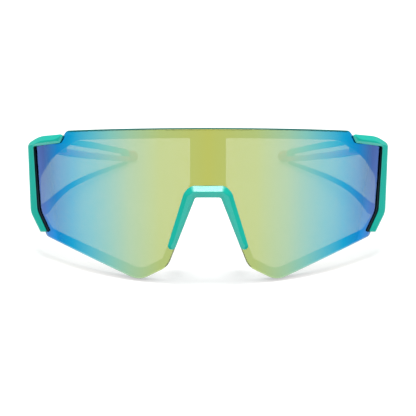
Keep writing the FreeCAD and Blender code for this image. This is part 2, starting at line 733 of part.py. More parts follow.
# Lower brace: a slim rail that runs level from the foot of the upright and then rises to the arm's tail
braceFoot = "(sizes.uprightDepth + sizes.seatGap)"
braceStartRise = "(sizes.braceFrontHeight - sizes.uprightDrop)"
braceKneeTop = f"({braceStartRise} + sizes.braceKneeRise)"
braceEndTop = f"({railLine(braceReach)} - sizes.seatGap)"
braceMiddleTop = f"({armTopRise} - sizes.braceMiddleFall)"
braceMiddleHeight = "(0.5 * (sizes.braceFrontHeight + sizes.braceBackHeight))"
braceCorners = [
    (behind(braceFoot), negative("sizes.uprightDrop")),
    (behind(braceFoot), braceStartRise),
    (behind(f"{braceFoot} + sizes.braceLevel"), braceStartRise, size("braceRound")),
    (behind(f"{braceFoot} + sizes.braceKnee"), braceKneeTop, size("braceRound")),
    (behind(braceMiddle), braceMiddleTop, size("braceRound")),
    (behind(braceReach), braceEndTop),
    (behind(braceReach), f"{braceEndTop} - sizes.braceBackHeight"),
    (behind(braceMiddle), f"{braceMiddleTop} - {braceMiddleHeight}", size("braceRound")),
    (
        behind(f"{braceFoot} + sizes.braceKnee"),
        f"{braceKneeTop} - sizes.braceFrontHeight",
        size("braceRound"),
    ),
    (behind(f"{braceFoot} + sizes.braceLevel"), negative("sizes.uprightDrop"), size("braceRound")),
]
braceSheet = armWall("braceSheet", "-0.5 * sizes.braceThickness", size("braceThickness"))
braceBlank = common("braceBlank", braceSheet, sidePrism("braceOutline", braceCorners))
bracePegs = [bracePeg(f"bracePeg{index}", "0", *place) for index, place in enumerate(bracePegPlaces)]
keep("lower_brace_right", fuse("brace", braceBlank, *bracePegs))

# Grip strip on the inner face of the rail
gripLift = "(0.5 * (sizes.slotFloor - sizes.gripHeight))"
gripFoot = f"({railLine(size('gripStart'))} + {gripLift})"
gripEndFoot = f"({railLine(gripEnd)} + {gripLift})"
gripCorners = [
    (behind(size("gripStart")), gripFoot, "0.3 * sizes.gripHeight"),
    (behind(size("gripStart")), f"{gripFoot} + sizes.gripHeight", "0.3 * sizes.gripHeight"),
    (behind(gripEnd), f"{gripEndFoot} + sizes.gripHeight", "0.3 * sizes.gripHeight"),
    (behind(gripEnd), gripEndFoot, "0.3 * sizes.gripHeight"),
]
gripInner = negative(f"{armFace} + sizes.seatGap + sizes.gripThickness")
gripSheet = armWall("gripSheet", gripInner, size("gripThickness"))
keep("grip_strip_right", common("grip", gripSheet, sidePrism("gripOutline", gripCorners)))

# Ear sock: a round-ended sleeve over the arm's core
sockStart = tailEnd + tailAhead * number(size("seatGap")) + Vector(0, 0, number(tipRise))
sockNeck = doc.addObject("Part::Cone", "sockNeck")
bind(sockNeck, Radius1=size("sockNeckRadius"), Radius2=size("sockRadius"), Height=size("sockTaper"))
alongTail = FreeCAD.Rotation(Vector(0, 0, 1), tailAhead)
sockNeck.Placement = FreeCAD.Placement(sockStart, alongTail)
sockBarrelStart = sockStart + tailAhead * number(size("sockTaper"))
sockBarrel = rod("sockBarrel", size("sockRadius"), size("sockLength"), sockBarrelStart, tailAhead)
sockEnd = sockBarrelStart + tailAhead * number(size("sockLength"))
sockTip = doc.addObject("Part::Sphere", "sockTip")
bind(sockTip, Radius=size("sockRadius"))
sockTip.Placement = FreeCAD.Placement(sockEnd, alongTail)
sockBore = rod("sockBore", "sizes.coreRadius + sizes.pinGap", "sizes.coreLength + sizes.seatGap",
               sockStart, tailAhead)
keep("ear_sock_right", cut("sock", fuse("sockBody", sockNeck, sockBarrel, sockTip), sockBore))

# Hinge: two knuckles on the front, one tongue on the arm, and a screw down through them
pivot = Vector(number(pivotHalf), number(pivotY), 0)
up = Vector(0, 0, 1)


def atRise(expression):
    return pivot + up * number(expression)


hingeHeight = f"({hingeRise} - {hingeFoot})"
knuckles = rod("knuckles", size("knuckleRadius"), hingeHeight, atRise(hingeFoot), up)
hingeStem = doc.addObject("Part::Box", "hingeStem")
bind(hingeStem, Length="2 * sizes.knuckleRadius", Width=pivotY, Height=hingeHeight)
bind(hingeStem, Placement__Base__x=f"{pivotHalf} - sizes.knuckleRadius", Placement__Base__z=hingeFoot)
hingeBody = fuse("hingeBody", knuckles, hingeStem)
hingeBlock = common("hingeBlock", hingeBody, drum("hingeSeat", plateFront))
tongueRoom = rod("tongueRoom", "sizes.knuckleRadius + sizes.turnGap",
                 "sizes.tongueHeight + 2 * sizes.seatGap", atRise(f"{tongueFoot} - sizes.seatGap"), up)
screwBoreStart = atRise(f"{hingeFoot} - sizes.seatGap")
screwBore = rod("screwBore", "sizes.hingeScrewRadius + sizes.pinGap",
                f"{hingeHeight} + 2 * sizes.seatGap", screwBoreStart, up)
keep("front_hinge_right", cut("frontHinge", hingeBlock, tongueRoom, screwBore))

screwShank = rod("screwShank", size("hingeScrewRadius"), f"{hingeHeight} + sizes.seatGap",
                 atRise(hingeFoot), up)
screwHead = rod("screwHead", size("hingeHeadRadius"), size("hingeHeadHeight"),
                atRise(f"{hingeRise} + sizes.seatGap"), up)
keep("hinge_screw_right", fuse("hingeScrew", screwShank, screwHead))

# Arm side of the hinge: a leaf on the arm's inner face with a tongue to the pivot
leafPlate = doc.addObject("Part::Box", "leafPlate")
bind(leafPlate, Length=size("leafThickness"), Width=size("leafLength"), Height=size("leafHeight"))
leafPlate.Placement = FreeCAD.Placement(
    armStart - armOutward * number(leafInner) + armAhead * number(size("turnGap"))
    + up * number(f"{leafRise} - 0.5 * sizes.leafHeight"),
    FreeCAD.Rotation(up, number(size("armToeAngle"))),
)
tongueEye = rod("tongueEye", size("knuckleRadius"), size("tongueHeight"), atRise(tongueFoot), up)
tongueArm = doc.addObject("Part::Box", "tongueArm")
bind(tongueArm, Length=f"sizes.pivotInset - {armFace} - sizes.seatGap - 0.75 * sizes.leafThickness",
     Width=size("knuckleRadius"), Height=size("tongueHeight"))
tongueArm.Placement = FreeCAD.Placement(atRise(tongueFoot), FreeCAD.Rotation())
leafBody = fuse("leafBody", leafPlate, tongueEye, tongueArm)
keep("arm_hinge_right", cut("armHinge", leafBody, screwBore, *rivetBores))

rivets = []
for index, place in enumerate(rivetPlaces):
    shank = rivetRods(f"rivetShank{index}", "0", place)
    headStart = place - armOutward * number(f"{leafInner} + sizes.seatGap")
    head = rod(f"rivetHead{index}", size("rivetHeadRadius"), size("rivetHeadHeight"),
               headStart, armOutward * -1)
    neck = rod(f"rivetNeck{index}", size("rivetRadius"), "2 * sizes.seatGap", headStart, armOutward)
    rivets.append(fuse(f"rivet{index}", shank, neck, head))
rivetPair = doc.addObject("Part::Compound", "rivetPair")
rivetPair.Links = rivets
keep("arm_rivets_right", rivetPair)


def checkSound():
    # Stops the build if any object failed or any piece has no sound solid
    failed = [item.Name for item in doc.Objects if {"Invalid", "Error"} & set(item.State)]
    for name, item in nodes.items():
        if item.Shape.isNull() or not item.Shape.isValid() or not item.Shape.Solids:
            failed.append(name)
    if failed:
        raise RuntimeError(f"failed to build: {failed}")


doc.recompute()
checkSound()

# Laid at rest: tipped back until the front and the arm tips touch the same level
tipped = ("shield_lens", "front_frame", "nose_bridge", "nose_pad_right")


def lowest(names, angle):
    turn = FreeCAD.Placement(Vector(), FreeCAD.Rotation(Vector(1, 0, 0), -angle))
    boxes = []
    for name in names:
        shape = nodes[name].Shape.copy()
        shape.Placement = turn.multiply(shape.Placement)
        boxes.append(shape.optimalBoundingBox(False))
    return boxes


restAngle = 0.0
restStep = 20.0
while restStep > 1e-3:
    frontLow = min(box.ZMin for box in lowest(tipped, restAngle + restStep))
    tipLow = min(box.ZMin for box in lowest(("ear_sock_right",), restAngle + restStep))
    if tipLow > frontLow:
        restAngle += restStep
    else:
        restStep *= 0.5
restBoxes = lowest(nodes, restAngle)
restShift = Vector(
    0,
    -0.5 * (min(box.YMin for box in restBoxes) + max(box.YMax for box in restBoxes)),
    -min(box.ZMin for box in restBoxes),
)
rest = FreeCAD.Placement(restShift, FreeCAD.Rotation(Vector(1, 0, 0), -restAngle))
for item in nodes.values():
    item.Placement = rest.multiply(item.Placement)
doc.recompute()

# The left side is the right side's mirror image
for name in [name for name in nodes if name.endswith("_right")]:
    keep(name.replace("_right", "_left"), mirrored(f"{nodes[name].Name}Left", nodes[name]))
doc.recompute()

checkSound()

os.makedirs("parts", exist_ok=True)
for name, item in nodes.items():
    item.Shape.exportStep(f"parts/{name}.step")
    print(f"{name}: {len(item.Shape.Solids)} solids, {item.Shape.Volume:.1f} mm3")

restTurn = rest.Rotation
print("rest angle", round(restAngle, 3), "shift", rest.Base)
hingeMiddle = atRise(f"0.5 * ({hingeRise} + {hingeFoot})")
print("hinge point", rest.multVec(hingeMiddle), "axis", restTurn.multVec(up))
print("sock start", rest.multVec(sockBarrelStart), "end", rest.multVec(sockEnd))
print("sock axis", restTurn.multVec(tailAhead))
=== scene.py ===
import math

import bpy
from mathutils import Matrix, Vector
from mathutils.geometry import delaunay_2d_cdt


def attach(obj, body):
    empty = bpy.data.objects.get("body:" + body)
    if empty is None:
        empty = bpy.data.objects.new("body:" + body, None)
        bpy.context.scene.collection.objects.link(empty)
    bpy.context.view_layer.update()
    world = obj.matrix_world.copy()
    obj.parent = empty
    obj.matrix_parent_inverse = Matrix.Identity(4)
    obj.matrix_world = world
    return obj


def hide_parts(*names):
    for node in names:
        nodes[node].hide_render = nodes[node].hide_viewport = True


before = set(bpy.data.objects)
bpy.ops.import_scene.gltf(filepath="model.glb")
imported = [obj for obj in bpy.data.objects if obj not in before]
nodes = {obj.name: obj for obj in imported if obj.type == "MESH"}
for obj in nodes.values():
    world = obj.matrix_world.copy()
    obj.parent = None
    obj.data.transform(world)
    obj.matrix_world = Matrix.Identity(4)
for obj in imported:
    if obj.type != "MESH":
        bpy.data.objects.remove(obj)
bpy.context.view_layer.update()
print("frame loaded:", len(nodes), "nodes")

# how the worn glasses lie at rest: tipped back, then moved onto the floor (degrees, mm)
restPose = {"tip": 18.895, "back": -73.7203, "up": 28.1746}
tipCos = math.cos(math.radians(restPose["tip"]))
tipSin = math.sin(math.radians(restPose["tip"]))
wornTurn = Matrix(((1, 0, 0), (0, tipCos, tipSin), (0, -tipSin, tipCos)))
wornShift = Vector((0, restPose["back"], restPose["up"]))
sides = {"left": -1, "right": 1}


def worn(x, y, z):
    # millimetres as worn, arms level, to metres as laid down
    return (wornTurn @ Vector((x, y, z)) + wornShift) * 0.001


def lookUp(face):
    # how far a face looks up as worn, from -1 to 1
    return (wornTurn.transposed() @ face.normal).z


# every sheet of the front is bent about one upright axis behind the nose, mm
drumBack = 91.0


def onDrum(radius, furthest=1000.0):
    return lambda x: min(drumBack - math.sqrt(radius * radius - x * x), furthest)


def level(y):
    # a flat face at one depth
    return lambda x: y


def facing(frontOf, x, reach=0.05):
    # the way a sheet faces at a distance from the middle plane
    slope = (frontOf(x + reach) - frontOf(x - reach)) / (2 * reach)
    return Vector((slope, -1, 0)).normalized()


# how outlines are cut into faces
cutForm = {
    "cornerBits": 4,  # fewest bits in a corner
    "cornerStep": 0.5,  # a corner's step against the step along straight runs
    "edgeShare": 0.85,  # widest worked edge against an outer corner's radius
    "tightest": 1.3,  # smallest corner radius against the back edge's
    "closest": 1e-4, "join": 1e-7,  # points nearer than this become one, along an edge and in a face, mm
    "easing": 8, "blend": 0.3,  # rounds and strength of smoothing of the edge widths
    "fillGap": 0.45,  # room between an edge and the points inside, against the fill's step
}
# a straight cut with a crisp outer corner, as listed by edgeProfile
facetProfile = [(0.0, 1.12, 0.0), (0.02, 0.98, None), (0.10, 0.88, None), (0.90, 0.10, None), (1.0, 0.0, 1.0)]


def roundCorners(corners, step, least):
    # corners: (x, z, radius, edge width of the run that follows); returns points and edge widths
    points, widths = [], []
    count = len(corners)
    for index, (x, z, radius, width) in enumerate(corners):
        here = Vector((x, z))
        before = (Vector(corners[index - 1][:2]) - here).normalized()
        after = (Vector(corners[(index + 1) % count][:2]) - here).normalized()
        radius = max(radius, least)
        half = 0.5 * before.angle(after)
        reach = radius / math.tan(half)
        centre = here + (before + after).normalized() * radius / math.sin(half)
        first = here + before * reach - centre
        swing = first.angle_signed(here + after * reach - centre)
        bits = max(cutForm["cornerBits"], int(abs(swing) * radius / (cutForm["cornerStep"] * step)) + 1)
        outside = swing > 0  # the list runs clockwise, so a clockwise turn is an outer corner
        for bit in range(bits + 1):
            share = bit / bits
            points.append(centre + Matrix.Rotation(-swing * share, 2) @ first)
            wide = corners[index - 1][3] * (1 - share) + width * share
            widths.append(min(wide, cutForm["edgeShare"] * radius) if outside else wide)
    dense, wides = [], []
    for index, point in enumerate(points):
        following = (index + 1) % len(points)
        gap = (points[following] - point).length
        if gap < cutForm["closest"]:
            continue
        bits = max(1, int(gap / step))
        for bit in range(bits):
            dense.append(point.lerp(points[following], bit / bits))
            wides.append(None if bit else widths[index])
    return dense, fillWidths(dense, wides, corners)


def fillWidths(points, wides, corners):
    # straight runs keep their own edge width, eased into the corners' widths
    count = len(corners)
    runs = [(Vector(corners[i][:2]), Vector(corners[(i + 1) % count][:2]), corners[i][3]) for i in range(count)]
    full = []
    for point, wide in zip(points, wides):
        if wide is None:
            wide = min(runs, key=lambda run: offRun(point, run[0], run[1]))[2]
        full.append(wide)
    caps = [wide if given is not None else math.inf for wide, given in zip(full, wides)]
    blend = cutForm["blend"]
    for _ in range(cutForm["easing"]):
        full = [
            min(cap, blend * full[index - 1] + (1 - 2 * blend) * wide + blend * full[(index + 1) % len(full)])
            for index, (wide, cap) in enumerate(zip(full, caps))
        ]
    return full


def offRun(point, start, end):
    # distance from a point to a straight run
    along = end - start
    share = max(0.0, min(1.0, (point - start).dot(along) / along.length_squared))
    return (point - start - along * share).length


def evenEdge(corners, width):
    # outline corners that all have one edge width
    return [(*corner[:3], width) for corner in corners]


def bothSides(half, crossWidth):
    # a half outline and its mirror image; crossWidth is the edge width of the run across the top
    other = [(-x, z, radius, half[i - 1][3] if i else crossWidth) for i, (x, z, radius, _) in enumerate(half)]
    return half + other[::-1]


def evenOutline(half, width):
    return bothSides(evenEdge(half, width), width)


def insideLoop(spot, loop):
    inside = False
    for a, b in zip(loop, loop[1:] + loop[:1]):
        if (a.y > spot.y) != (b.y > spot.y) and spot.x < (b.x - a.x) * (spot.y - a.y) / (b.y - a.y) + a.x:
            inside = not inside
    return inside


def insidePlate(spot, loops):
    # inside the outline, which comes first, and outside its holes
    return all(insideLoop(spot, loop) == (number == 0) for number, loop in enumerate(loops))


def gridInside(loops, step):
    # spots inside the loops, for a smooth curved face
    low = Vector((min(p.x for p in loops[0]), min(p.y for p in loops[0])))
    high = Vector((max(p.x for p in loops[0]), max(p.y for p in loops[0])))
    room = cutForm["fillGap"] * step
    found = []
    for column in range(1, int((high.x - low.x) / step)):
        for row in range(1, int((high.y - low.y) / step)):
            spot = Vector((low.x + column * step, low.y + (row + 0.5 * (column % 2)) * step))
            if insidePlate(spot, loops) and min((spot - p).length for loop in loops for p in loop) > room:
                found.append(spot)
    return found


def edgeProfile(style, bits=4):
    # (share of the edge's width, share of its depth, lean from side-facing 0 to front-facing 1, None on a facet)
    if style == "facet":
        return facetProfile
    turns = [0.5 * math.pi * bit / bits for bit in range(bits + 1)]
    return [(1 - math.cos(turn), 1 - math.sin(turn), 2 * turn / math.pi) for turn in turns]


def closeSheet(shape, rows, surface, way, fill):
    # the front (way 1) or the back (way -1) between an outline's row of points and its holes' rows
    vertices, normals, faces, slots = shape
    loops = [[Vector((vertices[i][0], vertices[i][2])) for i in row] for row in rows]
    inner = gridInside(loops, fill) if fill else []
    flat = [spot for loop in loops for spot in loop] + inner
    known = [index for row in rows for index in row]
    for spot in inner:
        known.append(len(vertices))
        vertices.append((spot.x, surface(spot.x), spot.y))
        normals.append(facing(surface, spot.x) * way)
    rims, start = [], 0
    for loop in loops:
        rims += [(start + i, start + (i + 1) % len(loop)) for i in range(len(loop))]
        start += len(loop)
    spots, _, triangles, origin, _, _ = delaunay_2d_cdt(flat, rims, [], 0, cutForm["join"])
    for triangle in triangles:
        middle = sum((spots[index] for index in triangle), Vector((0, 0))) / 3
        if not insidePlate(middle, loops) or not all(origin[index] for index in triangle):
            continue
        corners = [known[origin[index][0]] for index in triangle]
        faces.append(corners if way > 0 else corners[::-1])
        slots.append(0 if way > 0 else 1)


def plate(outlines, frontOf, backOf, form):
    # a sheet cut to an outline and holes, with worked front edges and softened back edges
    # face slots: 0 front face, 1 back and sides, 2 worked edge
    vertices, normals, faces, slots = shape = [], [], [], []
    frontRows, backRows = [], []
    backEdge = form["backEdge"]
    backRings = [(*ring, False) for ring in edgeProfile("round", 2)][::-1]
    rings = backRings + [(*ring, True) for ring in edgeProfile(form["style"])]
    for number, outline in enumerate(outlines):
        points, widths = roundCorners(outline, form["step"], cutForm["tightest"] * backEdge)
        count = len(points)
        outward = []
        for index in range(count):
            along = points[(index + 1) % count] - points[index - 1]
            outward.append(Vector((-along.y, along.x)).normalized() * (-1 if number else 1))
        rows = []
        for share, depth, lean, isFront in rings:
            surface = frontOf if isFront else backOf
            row = []
            for point, out, wide in zip(points, outward, widths):
                deep = form.get("slope", 1.0) * wide
                inset = share * (wide if isFront else backEdge)
                spot = point - out * inset
                y = surface(spot.x) + (depth * deep if isFront else -depth * backEdge)
                frontal = facing(surface, spot.x) * (1 if isFront else -1)
                across = Vector((out.x, 0, out.y))
                if lean is None:
                    normal = across * deep + frontal * wide
                else:
                    turn = 0.5 * math.pi * lean
                    normal = across * math.cos(turn) + frontal * math.sin(turn)
                row.append(len(vertices))
                vertices.append((spot.x, y, spot.y))
                normals.append(normal.normalized())
            rows.append(row)
        for ring, (lower, upper) in enumerate(zip(rows, rows[1:])):
            for index in range(count):
                following = (index + 1) % count
                quad = (lower[index], upper[index], upper[following], lower[following])
                faces.append(quad[::-1] if number else quad)
                slots.append(1 if ring < len(backRings) else 2)
        frontRows.append(rows[-1])
        backRows.append(rows[0])
    closeSheet(shape, frontRows, frontOf, 1, form.get("fill"))
    closeSheet(shape, backRows, backOf, -1, form.get("fill"))
    return shape


def placed(shape, turn, origin):
    # a shape moved into another frame, mm
    vertices, normals, faces, slots = shape
    return [turn @ Vector(v) + origin for v in vertices], [turn @ n for n in normals], faces, slots


def mirrored(shape):
    vertices, normals, faces, slots = shape
    flip = Matrix.Diagonal((-1, 1, 1))
    return [flip @ Vector(v) for v in vertices], [flip @ n for n in normals], [tuple(f)[::-1] for f in faces], slots


def block(low, high, radius, width):
    # a rounded rectangle, clockwise
    return [(low[0], high[1], radius, width), (high[0], high[1], radius, width),
            (high[0], low[1], radius, width), (low[0], low[1], radius, width)]


def squared(value, power):
    # bends a circle's sine or cosine towards a square's
    return math.copysign(abs(value) ** power, value)


def newPiece(name, vertices, faces, normals, materials, faceSlots=None):
    mesh = bpy.data.meshes.new(name)
    mesh.from_pydata([tuple(v) for v in vertices], [], faces)
    for material in materials:
        mesh.materials.append(material)
    if faceSlots:
        mesh.polygons.foreach_set("material_index", faceSlots)
    mesh.polygons.foreach_set("use_smooth", [True] * len(mesh.polygons))
    if normals:
        mesh.normals_split_custom_set_from_vertices([tuple(n) for n in normals])
    piece = bpy.data.objects.new(name, mesh)
    bpy.context.scene.collection.objects.link(piece)
    return piece


def wornPiece(name, shapes, materials, sign=1):
    # one piece from shapes drawn as worn, mirrored for the left
    vertices, normals, faces, slots = [], [], [], []
    for shape in shapes:
        shape = mirrored(shape) if sign < 0 else shape
        start = len(vertices)
        vertices += [worn(*v) for v in shape[0]]
        normals += [wornTurn @ n for n in shape[1]]
        faces += [tuple(start + index for index in face) for face in shape[2]]
        slots += shape[3]
    return newPiece(name, vertices, faces, normals, materials, slots)


def sweep(name, sections, materials, sign=1):
    # skin over rings of points drawn as worn, mm, ends closed, mirrored for the left
    vertices = [worn(sign * point[0], point[1], point[2]) for ring in sections for point in ring]
    count = len(sections[0])
    faces = []
    for ring in range(len(sections) - 1):
        for index in range(count):
            following = (index + 1) % count
            faces.append((ring * count + index, ring * count + following,
                          (ring + 1) * count + following, (ring + 1) * count + index))
    faces.append(tuple(range(count))[::-1])
    faces.append(tuple(range(len(vertices) - count, len(vertices))))
    if sign < 0:
        faces = [face[::-1] for face in faces]
    return newPiece(name, vertices, faces, None, materials)


def settle(piece, body, node):
    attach(piece, body)
    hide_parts(node)


def newMaterial(name):
    material = bpy.data.materials.new(name)
    material.use_nodes = True
    tree = material.node_tree
    tree.nodes.clear()
    return material, tree, tree.nodes.new("ShaderNodeOutputMaterial")


def addNode(tree, kind, operation=None, **values):
    node = tree.nodes.new(kind)
    if operation:
        node.operation = operation
    for name, value in values.items():
        node.inputs[name.replace("_", " ")].default_value = value
    return node


def linkUp(tree, source, output, target, socket):
    tree.links.new(source.outputs[output], target.inputs[socket])


def rampOf(tree, stops, source, output):
    ramp = tree.nodes.new("ShaderNodeValToRGB")
    elements = ramp.color_ramp.elements
    while len(elements) < len(stops):
        elements.new(0.5)
    for element, (place, colour) in zip(elements, stops):
        element.position = place
        element.color = (*colour, 1)
    linkUp(tree, source, output, ramp, "Fac")
    return ramp


def noiseAt(tree, coords, scale, detail=4.0, roughness=0.6):
    noise = addNode(tree, "ShaderNodeTexNoise", Scale=scale, Detail=detail, Roughness=roughness)
    linkUp(tree, coords, "Object", noise, "Vector")
    return noise


def spreadOf(tree, source, low, high):
    spread = addNode(tree, "ShaderNodeMapRange", To_Min=low, To_Max=high)
    linkUp(tree, source, "Fac", spread, "Value")
    return spread


def bumpOf(tree, source, strength, distance):
    bump = addNode(tree, "ShaderNodeBump", Strength=strength, Distance=distance)
    linkUp(tree, source, "Fac", bump, "Height")
    return bump


def mottled(tree, noise, form, marks):
    # two close colours in patches
    dark, pale = marks["stops"]
    return rampOf(tree, [(dark, form["darker"]), (pale, form["colour"])], noise, "Fac")


def glossOf(tree, noise, form, marks):
    # roughness spread about a finish's own
    shinier, duller = marks["gloss"]
    return spreadOf(tree, noise, form["rough"] + shinier, form["rough"] + duller)


def surfaceOf(tree, output, shade, gloss, bump=None, **values):
    shader = addNode(tree, "ShaderNodeBsdfPrincipled", **values)
    linkUp(tree, shade, "Color", shader, "Base Color")
    linkUp(tree, gloss, "Result", shader, "Roughness")
    if bump:
        linkUp(tree, bump, "Normal", shader, "Normal")
    linkUp(tree, shader, "BSDF", output, "Surface")


# moulded plastic: faint flow marks in the colour, fine grain in the gloss; linear colours
plasticMarks = {"flow": (38.0, 3.0), "stops": (0.3, 0.62), "gloss": (-0.05, 0.06), "bump": 0.00004}
plasticForms = {
    "teal": {"colour": (0.010, 0.475, 0.375), "darker": (0.008, 0.44, 0.345), "rough": 0.34, "specular": 0.05,
             "grain": 2600.0, "depth": 0.1},
    # polishedLit: a lighter, shinier copy of the teal; the bridge's finish, and painted light where it is laid on by
    # which way a face looks
    "polishedLit": {"colour": (0.018, 0.525, 0.42), "darker": (0.015, 0.50, 0.40), "rough": 0.26, "specular": 0.55,
                 "grain": 2600.0, "depth": 0.04},
    # rim: a darker copy of the teal, painted shade for a rim that sits behind the lens and gets less light
    "rim": {"colour": (0.010, 0.22, 0.19), "darker": (0.008, 0.19, 0.16), "rough": 0.42, "specular": 0.2,
            "grain": 2600.0, "depth": 0.12},
    "black": {"colour": (0.011, 0.012, 0.013), "darker": (0.006, 0.0065, 0.007), "rough": 0.46, "specular": 0.3,
              "grain": 3200.0, "depth": 0.2},
}


def mouldedPlastic(name, form):
    material, tree, output = newMaterial(name)
    coords = tree.nodes.new("ShaderNodeTexCoord")
    shade = mottled(tree, noiseAt(tree, coords, *plasticMarks["flow"]), form, plasticMarks)
    grain = noiseAt(tree, coords, form["grain"])
    bump = bumpOf(tree, grain, form["depth"], plasticMarks["bump"])
    surfaceOf(tree, output, shade, glossOf(tree, grain, form, plasticMarks), bump, Specular_IOR_Level=form["specular"])
    return material


# soft rubber: dull, with a dusty sheen and fine pores
rubberMarks = {"dust": (120.0, 5.0), "stops": (0.32, 0.66), "gloss": (-0.08, 0.08), "pores": 5200.0, "depth": 0.25,
               "bump": 0.00005, "specular": 0.3, "sheenRough": 0.5}
rubberForms = {
    # seal: near black, a rubber bead whose colour also paints the shade in the gap beside the bars
    "seal": {"colour": (0.001, 0.016, 0.027), "darker": (0.001, 0.008, 0.014), "rough": 0.6, "sheen": 0.0},
    "pad": {"colour": (0.034, 0.036, 0.038), "darker": (0.02, 0.021, 0.023), "rough": 0.62, "sheen": 0.15},
    "coral": {"colour": (0.80, 0.17, 0.16), "darker": (0.70, 0.13, 0.13), "rough": 0.55, "sheen": 0.15},
}


def softRubber(name, form):
    material, tree, output = newMaterial(name)
    coords = tree.nodes.new("ShaderNodeTexCoord")
    dust = noiseAt(tree, coords, *rubberMarks["dust"])
    bump = bumpOf(tree, noiseAt(tree, coords, rubberMarks["pores"]), rubberMarks["depth"], rubberMarks["bump"])
    surfaceOf(tree, output, mottled(tree, dust, form, rubberMarks), glossOf(tree, dust, form, rubberMarks), bump,
              Specular_IOR_Level=rubberMarks["specular"], Sheen_Weight=form["sheen"],
              Sheen_Roughness=rubberMarks["sheenRough"])
    return material


# turned steel: fine turning marks and a few dull spots
steelMarks = {"turning": (1500.0, 6.0, 0.7), "stops": (0.25, 0.7), "gloss": (-0.08, 0.12)}
steelForm = {"colour": (0.62, 0.63, 0.64), "darker": (0.44, 0.45, 0.46), "rough": 0.3}


def turnedSteel(name, form):
    material, tree, output = newMaterial(name)
    coords = tree.nodes.new("ShaderNodeTexCoord")
    turning = noiseAt(tree, coords, *steelMarks["turning"])
    surfaceOf(tree, output, mottled(tree, turning, form, steelMarks), glossOf(tree, turning, form, steelMarks),
              Metallic=1.0)
    return material


# mirror coat: gold at the nose, then green, blue and violet towards the sides; by share of half width
coatForm = {
    "halfWidth": 0.0714,
    "mirror": [
        (0.00, (0.509, 0.539, 0.122)), (0.26, (0.445, 0.555, 0.200)), (0.43, (0.338, 0.570, 0.365)),
        (0.53, (0.225, 0.560, 0.485)), (0.64, (0.098, 0.479, 0.597)), (0.75, (0.006, 0.361, 0.644)),
        (0.84, (0.004, 0.234, 0.590)), (0.93, (0.070, 0.130, 0.370)),
    ],
    "tint": [
        (0.00, (0.07, 0.085, 0.11)), (0.31, (0.10, 0.08, 0.075)), (0.53, (0.108, 0.055, 0.050)),
        (0.70, (0.152, 0.107, 0.026)), (0.84, (0.138, 0.115, 0.016)), (0.93, (0.075, 0.087, 0.03)),
    ],
    "haze": (60.0, 2.0), "gloss": (0.02, 0.08), "cutGloss": (0.32, 0.42),
    "waves": (22.0, 1.0), "ripple": 0.02, "rippleDeep": 0.0002,
    # edgeGain: how bright the cut edges' mirror is; the top's dimming is painted shade, so the up-facing edge catches
    # no glint of the overhead lamp
    "edgeGain": {"top": 0.36, "other": 0.9},
    "backShine": 0.05, "backColour": (0.8, 0.85, 0.9, 1),
}


def acrossLens(tree):
    # 0 at the nose, 1 at the lens's side edges
    coords = tree.nodes.new("ShaderNodeTexCoord")
    split = tree.nodes.new("ShaderNodeSeparateXYZ")
    linkUp(tree, coords, "Object", split, "Vector")
    away = addNode(tree, "ShaderNodeMath", "ABSOLUTE")
    linkUp(tree, split, "X", away, 0)
    share = addNode(tree, "ShaderNodeMath", "DIVIDE")
    share.inputs[1].default_value = coatForm["halfWidth"]
    linkUp(tree, away, "Value", share, 0)
    return coords, share


def clearTint(tree, share):
    # the tint is split between the lens's two faces
    stops = [(place, tuple(math.sqrt(c) for c in colour)) for place, colour in coatForm["tint"]]
    clear = tree.nodes.new("ShaderNodeBsdfTransparent")
    linkUp(tree, rampOf(tree, stops, share, "Value"), "Color", clear, "Color")
    return clear


def mirrorCoat(name, gain=1.0, gloss=coatForm["gloss"]):
    material, tree, output = newMaterial(name)
    coords, share = acrossLens(tree)
    stops = [(place, tuple(c * gain for c in colour)) for place, colour in coatForm["mirror"]]
    shine = tree.nodes.new("ShaderNodeBsdfGlossy")
    linkUp(tree, rampOf(tree, stops, share, "Value"), "Color", shine, "Color")
    haze = noiseAt(tree, coords, *coatForm["haze"])
    linkUp(tree, spreadOf(tree, haze, *gloss), "Result", shine, "Roughness")
    waves = noiseAt(tree, coords, *coatForm["waves"])
    linkUp(tree, bumpOf(tree, waves, coatForm["ripple"], coatForm["rippleDeep"]), "Normal", shine, "Normal")
    both = tree.nodes.new("ShaderNodeAddShader")
    linkUp(tree, shine, "BSDF", both, 0)
    linkUp(tree, clearTint(tree, share), "BSDF", both, 1)
    linkUp(tree, both, "Shader", output, "Surface")
    return material


def tintedBack(name):
    material, tree, output = newMaterial(name)
    coords, share = acrossLens(tree)
    shine = addNode(tree, "ShaderNodeBsdfGlossy", Color=coatForm["backColour"])
    haze = noiseAt(tree, coords, *coatForm["haze"])
    linkUp(tree, spreadOf(tree, haze, *coatForm["gloss"]), "Result", shine, "Roughness")
    mix = addNode(tree, "ShaderNodeMixShader", Fac=coatForm["backShine"])
    linkUp(tree, clearTint(tree, share), "BSDF", mix, 1)
    linkUp(tree, shine, "BSDF", mix, 2)
    linkUp(tree, mix, "Shader", output, "Surface")
    return material


tealPlastic = mouldedPlastic("tealPlastic", plasticForms["teal"])
litPolishedTeal = mouldedPlastic("litPolishedTeal", plasticForms["polishedLit"])
shadedRimTeal = mouldedPlastic("shadedRimTeal", plasticForms["rim"])
blackPlastic = mouldedPlastic("blackPlastic", plasticForms["black"])
sealRubberGapShade = softRubber("sealRubberGapShade", rubberForms["seal"])
padRubber = softRubber("padRubber", rubberForms["pad"])
coralRubber = softRubber("coralRubber", rubberForms["coral"])
screwSteel = turnedSteel("screwSteel", steelForm)
lensCoat = mirrorCoat("lensCoat")
lensBack = tintedBack("lensBack")
lensEdge = mirrorCoat("lensEdge", coatForm["edgeGain"]["other"])
lensShadedTopEdge = mirrorCoat("lensShadedTopEdge", coatForm["edgeGain"]["top"], coatForm["cutGloss"])
print("finishes made")
